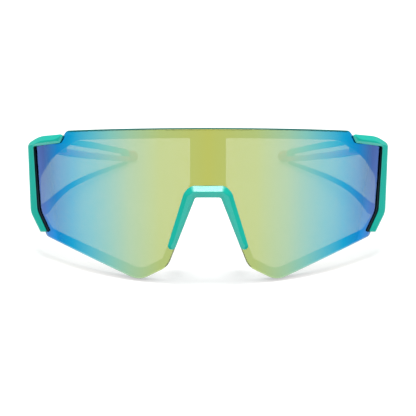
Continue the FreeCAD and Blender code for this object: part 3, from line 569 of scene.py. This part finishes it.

# lens: outline corners are (x, z, radius), mm; the reaches of the cut edge with the dimmed mirror, a painted shade,
# are from the middle, m
lensForm = {
    "half": [
        (56.5, 30.3, 1.6), (59.6, 25.9, 0.8), (71.4, 26.4, 0.8), (69.5, -1.0, 8.0),
        (64.7, -11.2, 2.4), (26.6, -28.0, 8.0), (15.46, -22.6, 7.0), (4.6, 4.9, 1.0),
    ],
    "edge": 0.45, "thick": 2.0, "style": "round", "step": 0.8, "fill": 2.4, "backEdge": 0.15,
    "topReach": 0.055, "topLook": 0.2, "noseReach": 0.0165,
}
lensShape = plate([evenOutline(lensForm["half"], lensForm["edge"])], onDrum(drumBack),
                  onDrum(drumBack - lensForm["thick"]), lensForm)
lens = wornPiece("lens", [lensShape], [lensCoat, lensBack, lensEdge, lensShadedTopEdge])
for face in lens.data.polygons:
    away = abs(face.center.x)
    atTop = away < lensForm["topReach"] and lookUp(face) > lensForm["topLook"]
    # painted shade: the up-facing top edge, and the nose edge, take the dimmed mirror
    if face.material_index == 2 and (atTop or away < lensForm["noseReach"]):
        face.material_index = 3
settle(lens, "front", "shield_lens")
print("lens made:", len(lens.data.polygons), "faces")

# side bars: a sloping cap over the lens's corner and an upright down its side
barForm = {
    "outline": [
        (57.0, 29.4, 1.0, 2.2), (68.2, 29.05, 12.0, 2.0), (73.5, 26.3, 2.4, 0.35), (72.1, -1.6, 8.0, 0.35),
        (67.5, -9.6, 0.6, 0.4), (64.5, -9.6, 0.5, 0.25), (68.9, -1.0, 8.0, 0.25), (70.8, 25.0, 0.8, 0.9),
        (58.9, 25.9, 1.0, 1.0),
    ],
    "front": 92.05, "back": 86.32, "tail": 42.99, "shadedCopyLook": 0.1,
    "style": "facet", "slope": 0.8, "step": 0.7, "backEdge": 0.3,
}
barShape = plate([barForm["outline"]], onDrum(barForm["front"]), onDrum(barForm["back"], barForm["tail"]), barForm)
for side, sign in sides.items():
    bar = wornPiece(f"bar_{side}", [barShape], [tealPlastic, tealPlastic, litPolishedTeal], sign)
    for face in bar.data.polygons:
        if lookUp(face) > barForm["shadedCopyLook"]:
            face.material_index = 0  # painted light: only the lower and inner edges take the lighter copy, the up-facing ones keep the plain teal
    settle(bar, "front", f"side_bar_{side}")
print("side bars made")

# soft beads along the bars, near black, their colour also standing for the shade in the gap beside the bars
sealForm = {
    "outline": [
        (70.75, 24.92, 0.2), (68.85, -1.0, 8.0), (64.5, -9.5, 0.26), (63.55, -9.1, 0.4),
        (67.85, -1.0, 8.0), (70.15, 24.92, 0.2),
    ],
    "front": 91.45, "back": 91.06, "edge": 0.15, "style": "round", "step": 0.6, "backEdge": 0.1,
}
sealShape = plate([evenEdge(sealForm["outline"], sealForm["edge"])], onDrum(sealForm["front"]),
                  onDrum(sealForm["back"]), sealForm)
for side, sign in sides.items():
    seal = wornPiece(f"seal_{side}", [sealShape], [sealRubberGapShade] * 3, sign)
    settle(seal, "front", f"edge_seal_{side}")
print("seals made")

# rim behind the lens, with an opening for each eye
rimForm = {
    "half": [
        (56.5, 30.88, 1.6), (57.4, 28.8, 0.4), (65.8, 28.4, 5.0), (70.4, 26.2, 0.8), (70.75, 24.2, 0.4),
        (69.0, -1.0, 8.0), (64.4, -11.05, 2.2), (26.6, -27.6, 8.0), (15.8, -22.4, 5.0), (5.1, 5.4, 1.0),
    ],
    "eye": [
        (6.9, 27.0, 0.7), (52.0, 27.0, 9.0), (62.9, 20.4, 14.0), (68.6, 12.4, 7.0), (67.9, -0.6, 8.0),
        (62.6, -8.25, 3.0), (25.9, -23.7, 7.0), (17.6, -19.5, 1.2), (15.0, -12.8, 3.0), (6.9, 9.5, 3.0),
    ],
    "front": 88.92, "back": 86.32, "edge": 0.3, "style": "round", "step": 0.8, "fill": 2.6, "backEdge": 0.4,
}
otherEye = [(-x, z, radius) for x, z, radius in reversed(rimForm["eye"])]
rimOutlines = [evenOutline(rimForm["half"], rimForm["edge"])]
rimOutlines += [evenEdge(opening, rimForm["edge"]) for opening in (rimForm["eye"], otherEye)]
rimShape = plate(rimOutlines, onDrum(rimForm["front"]), onDrum(rimForm["back"]), rimForm)
rim = wornPiece("rim", [rimShape], [shadedRimTeal] * 3)
settle(rim, "front", "front_frame")
print("rim made")

# nose bridge: a ridged clip in front, a web through the nose cut, a plate behind and two wings
# a wing has its own frame: down the leg, back and splayed away from the nose (mm, degrees)
bridgeForm = {
    "half": [
        (6.7, 8.55, 3.9, 2.3), (9.28, 5.8, 4.8, 1.7), (15.9, -15.9, 1.4, 0.8), (12.8, -15.9, 1.4, 1.0),
        (4.96, 4.0, 1.0, 1.9),
    ],
    "crossWidth": 2.5, "front": -2.3, "seat": 91.08, "shadedCopyLook": 0.25,
    "style": "facet", "slope": 0.9, "step": 0.5, "backEdge": 0.15,
    "web": {"half": 3.6, "low": 4.0, "high": 4.82, "front": -0.7, "back": 5.6, "round": 0.2, "edge": 0.1,
            "style": "round", "step": 0.6, "backEdge": 0.1},
    "plate": {"front": 86.24, "back": 84.64, "edge": 0.3, "style": "round", "step": 0.6, "backEdge": 0.3},
    "wing": {"thick": 1.0, "deep": 7.0, "long": 9.0, "round": 1.6, "edge": 0.3, "origin": (10.30, 6.18, -3.0),
             "lean": -21.55, "splay": -9.0, "style": "round", "step": 0.6, "backEdge": 0.3},
}
webForm, backPlateForm, wingForm = (bridgeForm[name] for name in ("web", "plate", "wing"))
clipShape = plate([bothSides(bridgeForm["half"], bridgeForm["crossWidth"])], level(bridgeForm["front"]),
                  onDrum(bridgeForm["seat"]), bridgeForm)
backPlateShape = plate([evenOutline(bridgeForm["half"], backPlateForm["edge"])], onDrum(backPlateForm["front"]),
                       onDrum(backPlateForm["back"]), backPlateForm)
webHalf = [(webForm["half"], webForm[height], webForm["round"]) for height in ("high", "low")]
webShape = plate([evenOutline(webHalf, webForm["edge"])], level(webForm["front"]), level(webForm["back"]), webForm)
wingOrigin = Vector(wingForm["origin"])
leanTurn = Matrix.Rotation(math.radians(wingForm["lean"]), 3, "Y")
splayTurn = Matrix.Rotation(math.radians(wingForm["splay"]), 3, "Z")
wingTurn = leanTurn @ splayTurn @ Matrix(((0, 1, 0), (-1, 0, 0), (0, 0, 1)))
wingOutline = block((-wingForm["deep"], -wingForm["long"]), (0.0, 0.0), wingForm["round"], wingForm["edge"])
wingPlate = plate([wingOutline], level(-0.5 * wingForm["thick"]), level(0.5 * wingForm["thick"]), wingForm)
wingShape = placed(wingPlate, wingTurn, wingOrigin)
bridgeShapes = [clipShape, backPlateShape, webShape, wingShape, mirrored(wingShape)]
bridge = wornPiece("nose_bridge_moulding", bridgeShapes, [litPolishedTeal, litPolishedTeal, litPolishedTeal, tealPlastic])
for face in bridge.data.polygons:
    outerSlope = face.normal.x * face.center.x > bridgeForm["shadedCopyLook"] * abs(face.center.x)
    if face.material_index == 2 and outerSlope:
        face.material_index = 3  # painted shade: the legs' outer slopes take the darker, duller plain teal
settle(bridge, "front", "nose_bridge")
print("nose bridge made")

# nose pads: soft, crowned towards the nose, drawn in the wings' frame
padForm = {"low": (-8.78, -12.0), "high": (-1.18, 3.0), "front": -2.58, "back": -0.6, "round": 3.6, "crown": 0.4,
           "edge": 0.9, "style": "round", "step": 0.5, "fill": 0.9, "backEdge": 0.3}
padMiddle = 0.5 * (padForm["low"][0] + padForm["high"][0])
padHalf = 0.5 * (padForm["high"][0] - padForm["low"][0])


def padFront(x):
    return padForm["front"] + padForm["crown"] * ((x - padMiddle) / padHalf) ** 2


padOutline = block(padForm["low"], padForm["high"], padForm["round"], padForm["edge"])
padShape = placed(plate([padOutline], padFront, level(padForm["back"]), padForm), wingTurn, wingOrigin)
for side, sign in sides.items():
    pad = wornPiece(f"pad_{side}", [padShape], [padRubber] * 3, sign)
    settle(pad, "front", f"nose_pad_{side}")
print("nose pads made")

# arm's middle line seen from above, mm and degrees
armForm = {"start": (71.45, 43.29), "toe": 9.0, "straight": 46.0, "bend": 21.0, "bendRadius": 115.0, "half": 1.2,
           "underside": 24.1, "slope": 0.018, "furthest": 115.0, "halvings": 40}


def armPlace(along):
    # place on the middle line and the way back there
    toe = math.radians(armForm["toe"])
    place = Vector(armForm["start"])
    run = min(along, armForm["straight"])
    place += Vector((-math.sin(toe), math.cos(toe))) * run
    turn = toe
    if along > run:
        bent = min((along - run) / armForm["bendRadius"], math.radians(armForm["bend"]))
        turn = toe + bent
        place += Vector((math.cos(turn) - math.cos(toe), math.sin(turn) - math.sin(toe))) * armForm["bendRadius"]
        rest = along - run - bent * armForm["bendRadius"]
        place += Vector((-math.sin(turn), math.cos(turn))) * max(0.0, rest)
    return place, Vector((-math.sin(turn), math.cos(turn)))


def alongAt(back):
    # distance along the arm's middle line at a distance behind its front, found by halving
    low, high = 0.0, armForm["furthest"]
    for _ in range(armForm["halvings"]):
        middle = 0.5 * (low + high)
        low, high = (middle, high) if armPlace(middle)[0].y - armForm["start"][1] < back else (low, middle)
    return low


def bentAlong(shape):
    # a flat shape drawn along the arm, laid on the middle line with its front face outward
    spots, ways = [], []
    for (along, deep, height), normal in zip(*shape[:2]):
        place, ahead = armPlace(along)
        turn = Matrix(((ahead.x, -ahead.y, 0), (ahead.y, ahead.x, 0), (0, 0, 1)))
        spots.append(place.to_3d() + turn @ Vector((0, deep, height)))
        ways.append(turn @ normal)
    return spots, ways, *shape[2:]


# arms: an upright and a slotted rail with a tail, drawn by distance behind the front and height
railForm = {
    "outline": [
        (0.2, 28.0, 1.2), (25.0, 30.4, 60.0), (76.0, 30.8, 60.0), (96.0, 28.9, 20.0), (102.0, 28.4, 6.0),
        (104.4, 27.6, 0.7), (104.4, 22.3, 0.7), (5.0, 24.0, 16.0), (5.0, -3.0, 1.2), (0.2, -3.0, 1.2),
    ],
    "slot": [
        (15.0, 29.2, 0.8, 0.25), (62.0, 28.4, 20.0, 0.25), (84.5, 27.4, 20.0, 0.25), (95.0, 26.45, 20.0, 0.25),
        (101.2, 26.0, 0.4, 0.2), (101.2, 24.85, 0.4, 0.25), (90.0, 25.2, 20.0, 0.25), (62.0, 26.2, 30.0, 0.25),
        (15.0, 26.95, 0.8, 0.25),
    ],
    "edge": 0.5, "style": "round", "step": 0.7, "fill": 2.4, "backEdge": 0.35,
}
railOutlines = [evenEdge(railForm["outline"], railForm["edge"]), railForm["slot"]]
railOutlines = [[(alongAt(back), *corner) for back, *corner in outline] for outline in railOutlines]
armShape = bentAlong(plate(railOutlines, level(-armForm["half"]), level(armForm["half"]), railForm))
for side, sign in sides.items():
    arm = wornPiece(f"arm_plate_{side}", [armShape], [tealPlastic] * 3, sign)
    settle(arm, f"temple_{side}", f"arm_{side}")
print("arms made")

# grip strips: ribbed soft strips along the rails' inner faces
# lip is the least share of the thickness, foot how far the back's corners are drawn in
gripForm = {
    "start": 14.2, "end": 110.2, "thick": 1.08, "height": 2.9, "lift": 0.05, "gap": 0.02,
    "pitch": 1.5, "groove": 0.22, "step": 0.25, "around": 12, "square": 0.55, "lip": 0.1, "foot": 0.02,
    "ends": {"steps": 4, "least": 0.4}, "narrow": {"from": 84.0, "over": 14.0, "by": 0.5},
}


def gripProfile():
    # (share of the thickness, share of the height), round the strip
    profile = [(0.0, gripForm["foot"]), (0.0, 1 - gripForm["foot"])]
    for bit in range(gripForm["around"] + 1):
        turn = math.pi * (0.5 - bit / gripForm["around"])
        out = max(squared(math.cos(turn), gripForm["square"]), gripForm["lip"])
        profile.append((out, 0.5 + 0.5 * squared(math.sin(turn), gripForm["square"])))
    return profile


def gripSections():
    sections, profile = [], gripProfile()
    ends, narrow = gripForm["ends"], gripForm["narrow"]
    count = int((gripForm["end"] - gripForm["start"]) / gripForm["step"])
    for index in range(count + 1):
        along = gripForm["start"] + index * gripForm["step"]
        place, ahead = armPlace(along)
        inward = Vector((-ahead.y, ahead.x))
        back = place.y - armForm["start"][1]
        foot = armForm["underside"] - armForm["slope"] * back + gripForm["lift"]
        tall = gripForm["height"] - narrow["by"] * min(1.0, max(0.0, (along - narrow["from"]) / narrow["over"]))
        ease = min(1.0, index / ends["steps"], (count - index) / ends["steps"])
        rib = gripForm["groove"] * (0.5 - 0.5 * math.cos(2 * math.pi * along / gripForm["pitch"])) ** 2
        proud = (gripForm["thick"] - rib) * (ends["least"] + (1 - ends["least"]) * math.sqrt(ease))
        ring = []
        for out, up in profile:
            spot = place + inward * (armForm["half"] + gripForm["gap"] + out * proud)
            ring.append((spot.x, spot.y, foot + up * tall))
        sections.append(ring)
    return sections


gripRings = gripSections()
for side, sign in sides.items():
    grip = sweep(f"grip_{side}", gripRings, [coralRubber], sign)
    settle(grip, f"temple_{side}", f"grip_strip_{side}")
print("grip strips made")

# lower braces: slim curved stays from the foot of each upright to the tail
# line: (distance behind the front, height, size)
braceForm = {
    "line": [
        (5.1, -0.6, 4.7), (10.0, -0.6, 4.8), (15.0, -0.3, 5.1), (20.6, 0.6, 5.3), (25.0, 1.9, 4.7), (30.5, 3.5, 4.0),
        (38.0, 5.5, 3.4), (47.4, 7.7, 2.9), (67.3, 12.4, 2.5), (84.5, 16.75, 2.3), (95.0, 19.6, 2.0),
        (100.3, 20.95, 1.9), (104.0, 21.9, 1.4),
    ],
    "thick": 1.5, "step": 0.7, "around": 24, "square": 0.7,
}


def easedLine(line, back):
    # height and size between listed places, without kinks
    for index in range(len(line) - 1):
        if back <= line[index + 1][0]:
            break
    left, right = line[index], line[index + 1]
    before, after = line[max(index - 1, 0)], line[min(index + 2, len(line) - 1)]
    span = right[0] - left[0]
    share = (back - left[0]) / span
    cube, square = share ** 3, share ** 2
    values = []
    for axis in (1, 2):
        leave = (right[axis] - before[axis]) / (right[0] - before[0]) * span
        arrive = (after[axis] - left[axis]) / (after[0] - left[0]) * span
        values.append((2 * cube - 3 * square + 1) * left[axis] + (cube - 2 * square + share) * leave
                      + (3 * square - 2 * cube) * right[axis] + (cube - square) * arrive)
    return values


def braceSections():
    sections = []
    first, last = braceForm["line"][0][0], braceForm["line"][-1][0]
    count = int((last - first) / braceForm["step"])
    for index in range(count + 1):
        back = first + (last - first) * index / count
        height, tall = easedLine(braceForm["line"], back)
        place, ahead = armPlace(alongAt(back))
        inward = Vector((-ahead.y, ahead.x))
        ring = []
        for bit in range(braceForm["around"]):
            turn = 2 * math.pi * bit / braceForm["around"]
            across = squared(math.cos(turn), braceForm["square"]) * 0.5 * braceForm["thick"]
            upward = squared(math.sin(turn), braceForm["square"]) * 0.5 * tall
            spot = place + inward * across
            ring.append((spot.x, spot.y, height + upward))
        sections.append(ring)
    return sections


braceRings = braceSections()
for side, sign in sides.items():
    brace = sweep(f"brace_{side}", braceRings, [blackPlastic], sign)
    settle(brace, f"temple_{side}", f"lower_brace_{side}")
print("braces made")

# ear socks: a collar, finger grooves and a round tip on the arms' ends
# start is as laid down; lip: (distance, swell); collar: (share of the taper, swell)
sockForm = {
    "start": (39.973643, 72.595706, 4.623218), "along": (-0.5, 0.8660254, 0.0), "front": 2.0, "throat": 1.3,
    "neck": 2.4, "radius": 2.78, "taper": 2.0, "barrel": 2.6,
    "lip": ((0.0, -0.25), (0.07, -0.08), (0.25, 0.0)),
    "collar": ((0.38, 0.06), (0.42, -0.1), (0.54, -0.1), (0.58, 0.12)),
    "grooves": 2, "groove": 0.16, "grooved": 0.86, "sharp": 8, "steps": 40, "tipSteps": 16, "around": 64,
}
sockStart = wornTurn.transposed() @ (Vector(sockForm["start"]) - wornShift)


def sockProfile():
    # (distance along, radius)
    front, neck, radius, taper, barrel = (sockForm[name] for name in ("front", "neck", "radius", "taper", "barrel"))
    profile = [(front, sockForm["throat"])]
    profile += [(front + along, neck + swell) for along, swell in sockForm["lip"]]
    profile += [(front + share * taper, neck + swell) for share, swell in sockForm["collar"]]
    grooved = sockForm["grooved"] * barrel
    for index in range(sockForm["steps"] + 1):
        along = barrel * index / sockForm["steps"]
        wave = math.sin(math.pi * sockForm["grooves"] * along / grooved) if along < grooved else 0.0
        profile.append((front + taper + along, radius - sockForm["groove"] * abs(wave) ** sockForm["sharp"]))
    for index in range(1, sockForm["tipSteps"] + 1):
        turn = 0.5 * math.pi * index / (sockForm["tipSteps"] + 0.5)
        profile.append((front + taper + barrel + radius * math.sin(turn), radius * math.cos(turn)))
    return profile


def sockSections():
    ahead = Vector(sockForm["along"])
    sideways = Vector((ahead.y, -ahead.x, 0))
    upward = Vector((0, 0, 1))
    sections = []
    for along, radius in sockProfile():
        ring = []
        for index in range(sockForm["around"]):
            turn = 2 * math.pi * index / sockForm["around"]
            ring.append(sockStart + ahead * along + (sideways * math.cos(turn) + upward * math.sin(turn)) * radius)
        sections.append(ring)
    return sections


sockRings = sockSections()
for side, sign in sides.items():
    sock = sweep(f"sock_{side}", sockRings, [coralRubber], sign)
    settle(sock, f"temple_{side}", f"ear_sock_{side}")
print("ear socks made")

# hinges: two knuckles on the front, a leaf with a tongue on the arm, and a screw down through them
# the screw's heights are above the upper knuckle; neck and crown are the head's plain and slotted parts
# full is a round end's radius against half its width
hingeForm = {
    "pivot": (60.45, 45.89), "radius": 2.0, "knuckles": ((23.0, 24.02), (25.2, 26.2)), "tongue": (24.1, 25.12),
    "seat": ((62.45, 31.6), (58.45, 27.7)), "seatRound": 0.4, "room": 2.4, "inset": 0.05, "tongueEnd": 68.9,
    "leaf": {"along": (0.3, 9.3), "height": (19.5, 25.4), "deep": (1.28, 2.48), "round": 1.0},
    "screw": {"head": 1.5, "neck": (0.06, 0.55), "crown": (0.3, 0.95), "shank": 0.8, "past": 0.3,
              "drive": (1.0, 0.2), "driveRound": 0.15},
    "round": 0.3, "full": 0.98, "edge": 0.2, "driveEdge": 0.05, "style": "round", "step": 0.35, "backEdge": 0.2,
}
pivotX, pivotY = hingeForm["pivot"]
knuckle = hingeForm["radius"]
knuckleRound = hingeForm["full"] * knuckle
hingeLow, hingeTop = hingeForm["knuckles"][0][0], hingeForm["knuckles"][1][1]


def slab(outlines, low, high):
    # outlines drawn from above, between two heights
    fromAbove = Matrix(((1, 0, 0), (0, 0, 1), (0, -1, 0)))
    return placed(plate(outlines, level(-high), level(-low), hingeForm), fromAbove, Vector((0, 0, 0)))


def disc(radius, x, y):
    return block((x - radius, y - radius), (x + radius, y + radius), hingeForm["full"] * radius, hingeForm["edge"])


def driveCut(size, radius, x, y):
    long, wide = size
    return block((x - long, y - wide), (x + long, y + wide), radius, hingeForm["driveEdge"])


def stem(back, radius):
    # from the seat on the rim back to the pivot
    corners = [(pivotX - knuckle, back, radius), (pivotX + knuckle, back, radius)]
    corners += [(x, y, hingeForm["seatRound"]) for x, y in hingeForm["seat"]]
    return evenEdge(corners, hingeForm["edge"])


stemShapes = [slab([stem(pivotY + knuckle, knuckleRound)], low, high) for low, high in hingeForm["knuckles"]]
stemShapes.append(slab([stem(pivotY - hingeForm["room"], hingeForm["round"])],
                       hingeLow + hingeForm["inset"], hingeTop - hingeForm["inset"]))
tongueOutline = evenEdge([
    (pivotX - knuckle, pivotY + knuckle, knuckleRound), (hingeForm["tongueEnd"], pivotY + knuckle, hingeForm["round"]),
    (hingeForm["tongueEnd"], pivotY, hingeForm["round"]), (pivotX + knuckle, pivotY, hingeForm["round"]),
    (pivotX + knuckle, pivotY - knuckle, knuckleRound), (pivotX - knuckle, pivotY - knuckle, knuckleRound),
], hingeForm["edge"])
leafForm = hingeForm["leaf"]
leafLow, leafHigh = zip(leafForm["along"], leafForm["height"])
leafOutline = block(leafLow, leafHigh, leafForm["round"], hingeForm["edge"])
leafShape = bentAlong(plate([leafOutline], level(leafForm["deep"][0]), level(leafForm["deep"][1]), hingeForm))
leafShapes = [leafShape, slab([tongueOutline], *hingeForm["tongue"])]
screwForm = hingeForm["screw"]
screwHead = disc(screwForm["head"], pivotX, pivotY)
screwDrive = driveCut(screwForm["drive"], screwForm["driveRound"], pivotX, pivotY)
screwShank = disc(screwForm["shank"], pivotX, pivotY)
screwShapes = [
    slab([screwShank], hingeLow - screwForm["past"], hingeTop + screwForm["past"]),
    slab([screwHead], *(hingeTop + rise for rise in screwForm["neck"])),
    slab([screwHead, screwDrive], *(hingeTop + rise for rise in screwForm["crown"])),
]
for side, sign in sides.items():
    hingeStem = wornPiece(f"hinge_stem_{side}", stemShapes, [blackPlastic] * 3, sign)
    settle(hingeStem, "front", f"front_hinge_{side}")
    hingeLeaf = wornPiece(f"hinge_leaf_{side}", leafShapes, [blackPlastic] * 3, sign)
    settle(hingeLeaf, f"temple_{side}", f"arm_hinge_{side}")
    hingePin = wornPiece(f"hinge_pin_{side}", screwShapes, [screwSteel] * 3, sign)
    settle(hingePin, "front", f"hinge_screw_{side}")
print("hinges made")

# screws behind the caps, square to the rim; crown and neck are shares of the head's rise
capScrewForm = {
    "places": (58.5, 66.6), "height": 27.2, "seat": 86.24, "rim": 86.32, "head": 1.05, "proud": 0.7,
    "crown": 0.4, "neck": 0.6, "shank": 0.6, "past": 0.3, "long": 2.0, "drive": (0.75, 0.16), "driveRound": 0.12,
}


def capScrew(place):
    # head, drive cut and shank, facing the drum's middle
    turn = math.asin(place / capScrewForm["rim"])
    seat, proud = capScrewForm["seat"], capScrewForm["proud"]
    spot = Vector((seat * math.sin(turn), drumBack - seat * math.cos(turn), capScrewForm["height"]))
    head = disc(capScrewForm["head"], 0, 0)
    drive = driveCut(capScrewForm["drive"], capScrewForm["driveRound"], 0, 0)
    shank = disc(capScrewForm["shank"], 0, 0)
    shapes = [plate([head, drive], level(-proud), level(-capScrewForm["crown"] * proud), hingeForm),
              plate([head], level(-capScrewForm["neck"] * proud), level(0), hingeForm),
              plate([shank], level(-capScrewForm["past"]), level(capScrewForm["long"]), hingeForm)]
    return [placed(shape, Matrix.Rotation(math.pi + turn, 3, "Z"), spot) for shape in shapes]


capScrewShapes = [shape for place in capScrewForm["places"] for shape in capScrew(place)]
for side, sign in sides.items():
    capScrews = wornPiece(f"cap_screws_{side}", capScrewShapes, [screwSteel] * 3, sign)
    settle(capScrews, "front", f"bar_screws_{side}")
print("cap screws made")

# rivets kept from the CAD, with softened edges, m and degrees
keptForm = {"edge": 0.00012, "bits": 2, "angle": 32.0, "weld": 0.000004}
for side in sides:
    rivets = nodes[f"arm_rivets_{side}"]
    rivets.data.materials.clear()
    rivets.data.materials.append(screwSteel)
    weld = rivets.modifiers.new("weld", "WELD")
    weld.merge_threshold = keptForm["weld"]
    soft = rivets.modifiers.new("softEdges", "BEVEL")
    soft.width = keptForm["edge"]
    soft.segments = keptForm["bits"]
    soft.angle_limit = math.radians(keptForm["angle"])
print("rivets finished")

# floor, light and camera
stageForm = {
    "floor": 0.6, "floorGlow": 0.48, "floorHalf": 6, "sky": 0.9,
    "lamps": {
        "top": {"watts": 3.0, "size": (1.7, 1.1), "far": 1.3, "lean": 0.0},
        "strip": {"watts": 8.5, "size": (0.6, 0.35), "far": 1.2, "lean": 7.0},
    },
}


def whiteForLooks(tree, dim, bright):
    # bright for the camera, mirrors and glass, dim for the light that falls on things
    path = tree.nodes.new("ShaderNodeLightPath")
    either = addNode(tree, "ShaderNodeMath", "MAXIMUM")
    linkUp(tree, path, "Is Camera Ray", either, 0)
    linkUp(tree, path, "Is Glossy Ray", either, 1)
    every = addNode(tree, "ShaderNodeMath", "MAXIMUM")
    linkUp(tree, either, "Value", every, 0)
    linkUp(tree, path, "Is Transmission Ray", every, 1)
    strength = addNode(tree, "ShaderNodeMapRange", To_Min=dim, To_Max=bright)
    linkUp(tree, every, "Value", strength, "Value")
    return strength


world = bpy.data.worlds.new("studio")
bpy.context.scene.world = world
world.use_nodes = True
skyTree = world.node_tree
skyTree.nodes.clear()
sky = addNode(skyTree, "ShaderNodeBackground", Color=(1, 1, 1, 1))
linkUp(skyTree, whiteForLooks(skyTree, stageForm["sky"], 1.0), "Result", sky, "Strength")
linkUp(skyTree, sky, "Background", skyTree.nodes.new("ShaderNodeOutputWorld"), "Surface")

floorPaint, floorTree, floorOut = newMaterial("floorPaint")
matt = addNode(floorTree, "ShaderNodeBsdfDiffuse", Color=(stageForm["floor"],) * 3 + (1,))
glow = addNode(floorTree, "ShaderNodeEmission", Color=(1, 1, 1, 1))
linkUp(floorTree, whiteForLooks(floorTree, 0.0, stageForm["floorGlow"]), "Result", glow, "Strength")
lit = floorTree.nodes.new("ShaderNodeAddShader")
linkUp(floorTree, matt, "BSDF", lit, 0)
linkUp(floorTree, glow, "Emission", lit, 1)
linkUp(floorTree, lit, "Shader", floorOut, "Surface")
half = stageForm["floorHalf"]
floorMesh = bpy.data.meshes.new("floor")
floorMesh.from_pydata([(-half, -half, 0), (half, -half, 0), (half, half, 0), (-half, half, 0)], [], [(0, 1, 2, 3)])
floorMesh.materials.append(floorPaint)
floor = bpy.data.objects.new("floor", floorMesh)
bpy.context.scene.collection.objects.link(floor)

for name, form in stageForm["lamps"].items():
    light = bpy.data.lights.new(name, "AREA")
    light.shape = "RECTANGLE"
    light.size, light.size_y = form["size"]
    light.energy = form["watts"]
    lamp = bpy.data.objects.new(name, light)
    lean = math.radians(form["lean"])  # towards the front
    upward = wornTurn @ Vector((0, -math.sin(lean), math.cos(lean)))
    lamp.location = upward * form["far"]
    lamp.rotation_euler = upward.to_track_quat("Z", "Y").to_euler()
    bpy.context.scene.collection.objects.link(lamp)

# the camera looks along the arms; far in mm, the rest in Blender's own units
cameraForm = {"far": 575.0, "frameShare": 0.2775, "sensor": 36.0, "near": 0.01}
cameraData = bpy.data.cameras.new("camera")
cameraData.sensor_width = cameraForm["sensor"]
cameraData.lens = cameraForm["sensor"] / cameraForm["frameShare"]
cameraData.clip_start = cameraForm["near"]
camera = bpy.data.objects.new("camera", cameraData)
wornUp = wornTurn @ Vector((0, 0, 1))
backward = wornTurn @ Vector((0, -1, 0))
aim = Matrix((Vector((1, 0, 0)), wornUp, backward)).transposed().to_4x4()
camera.matrix_world = Matrix.Translation(worn(0, -cameraForm["far"], 0)) @ aim
bpy.context.scene.collection.objects.link(camera)
bpy.context.scene.camera = camera
bpy.context.scene.view_settings.view_transform = "Standard"
print("stage set")
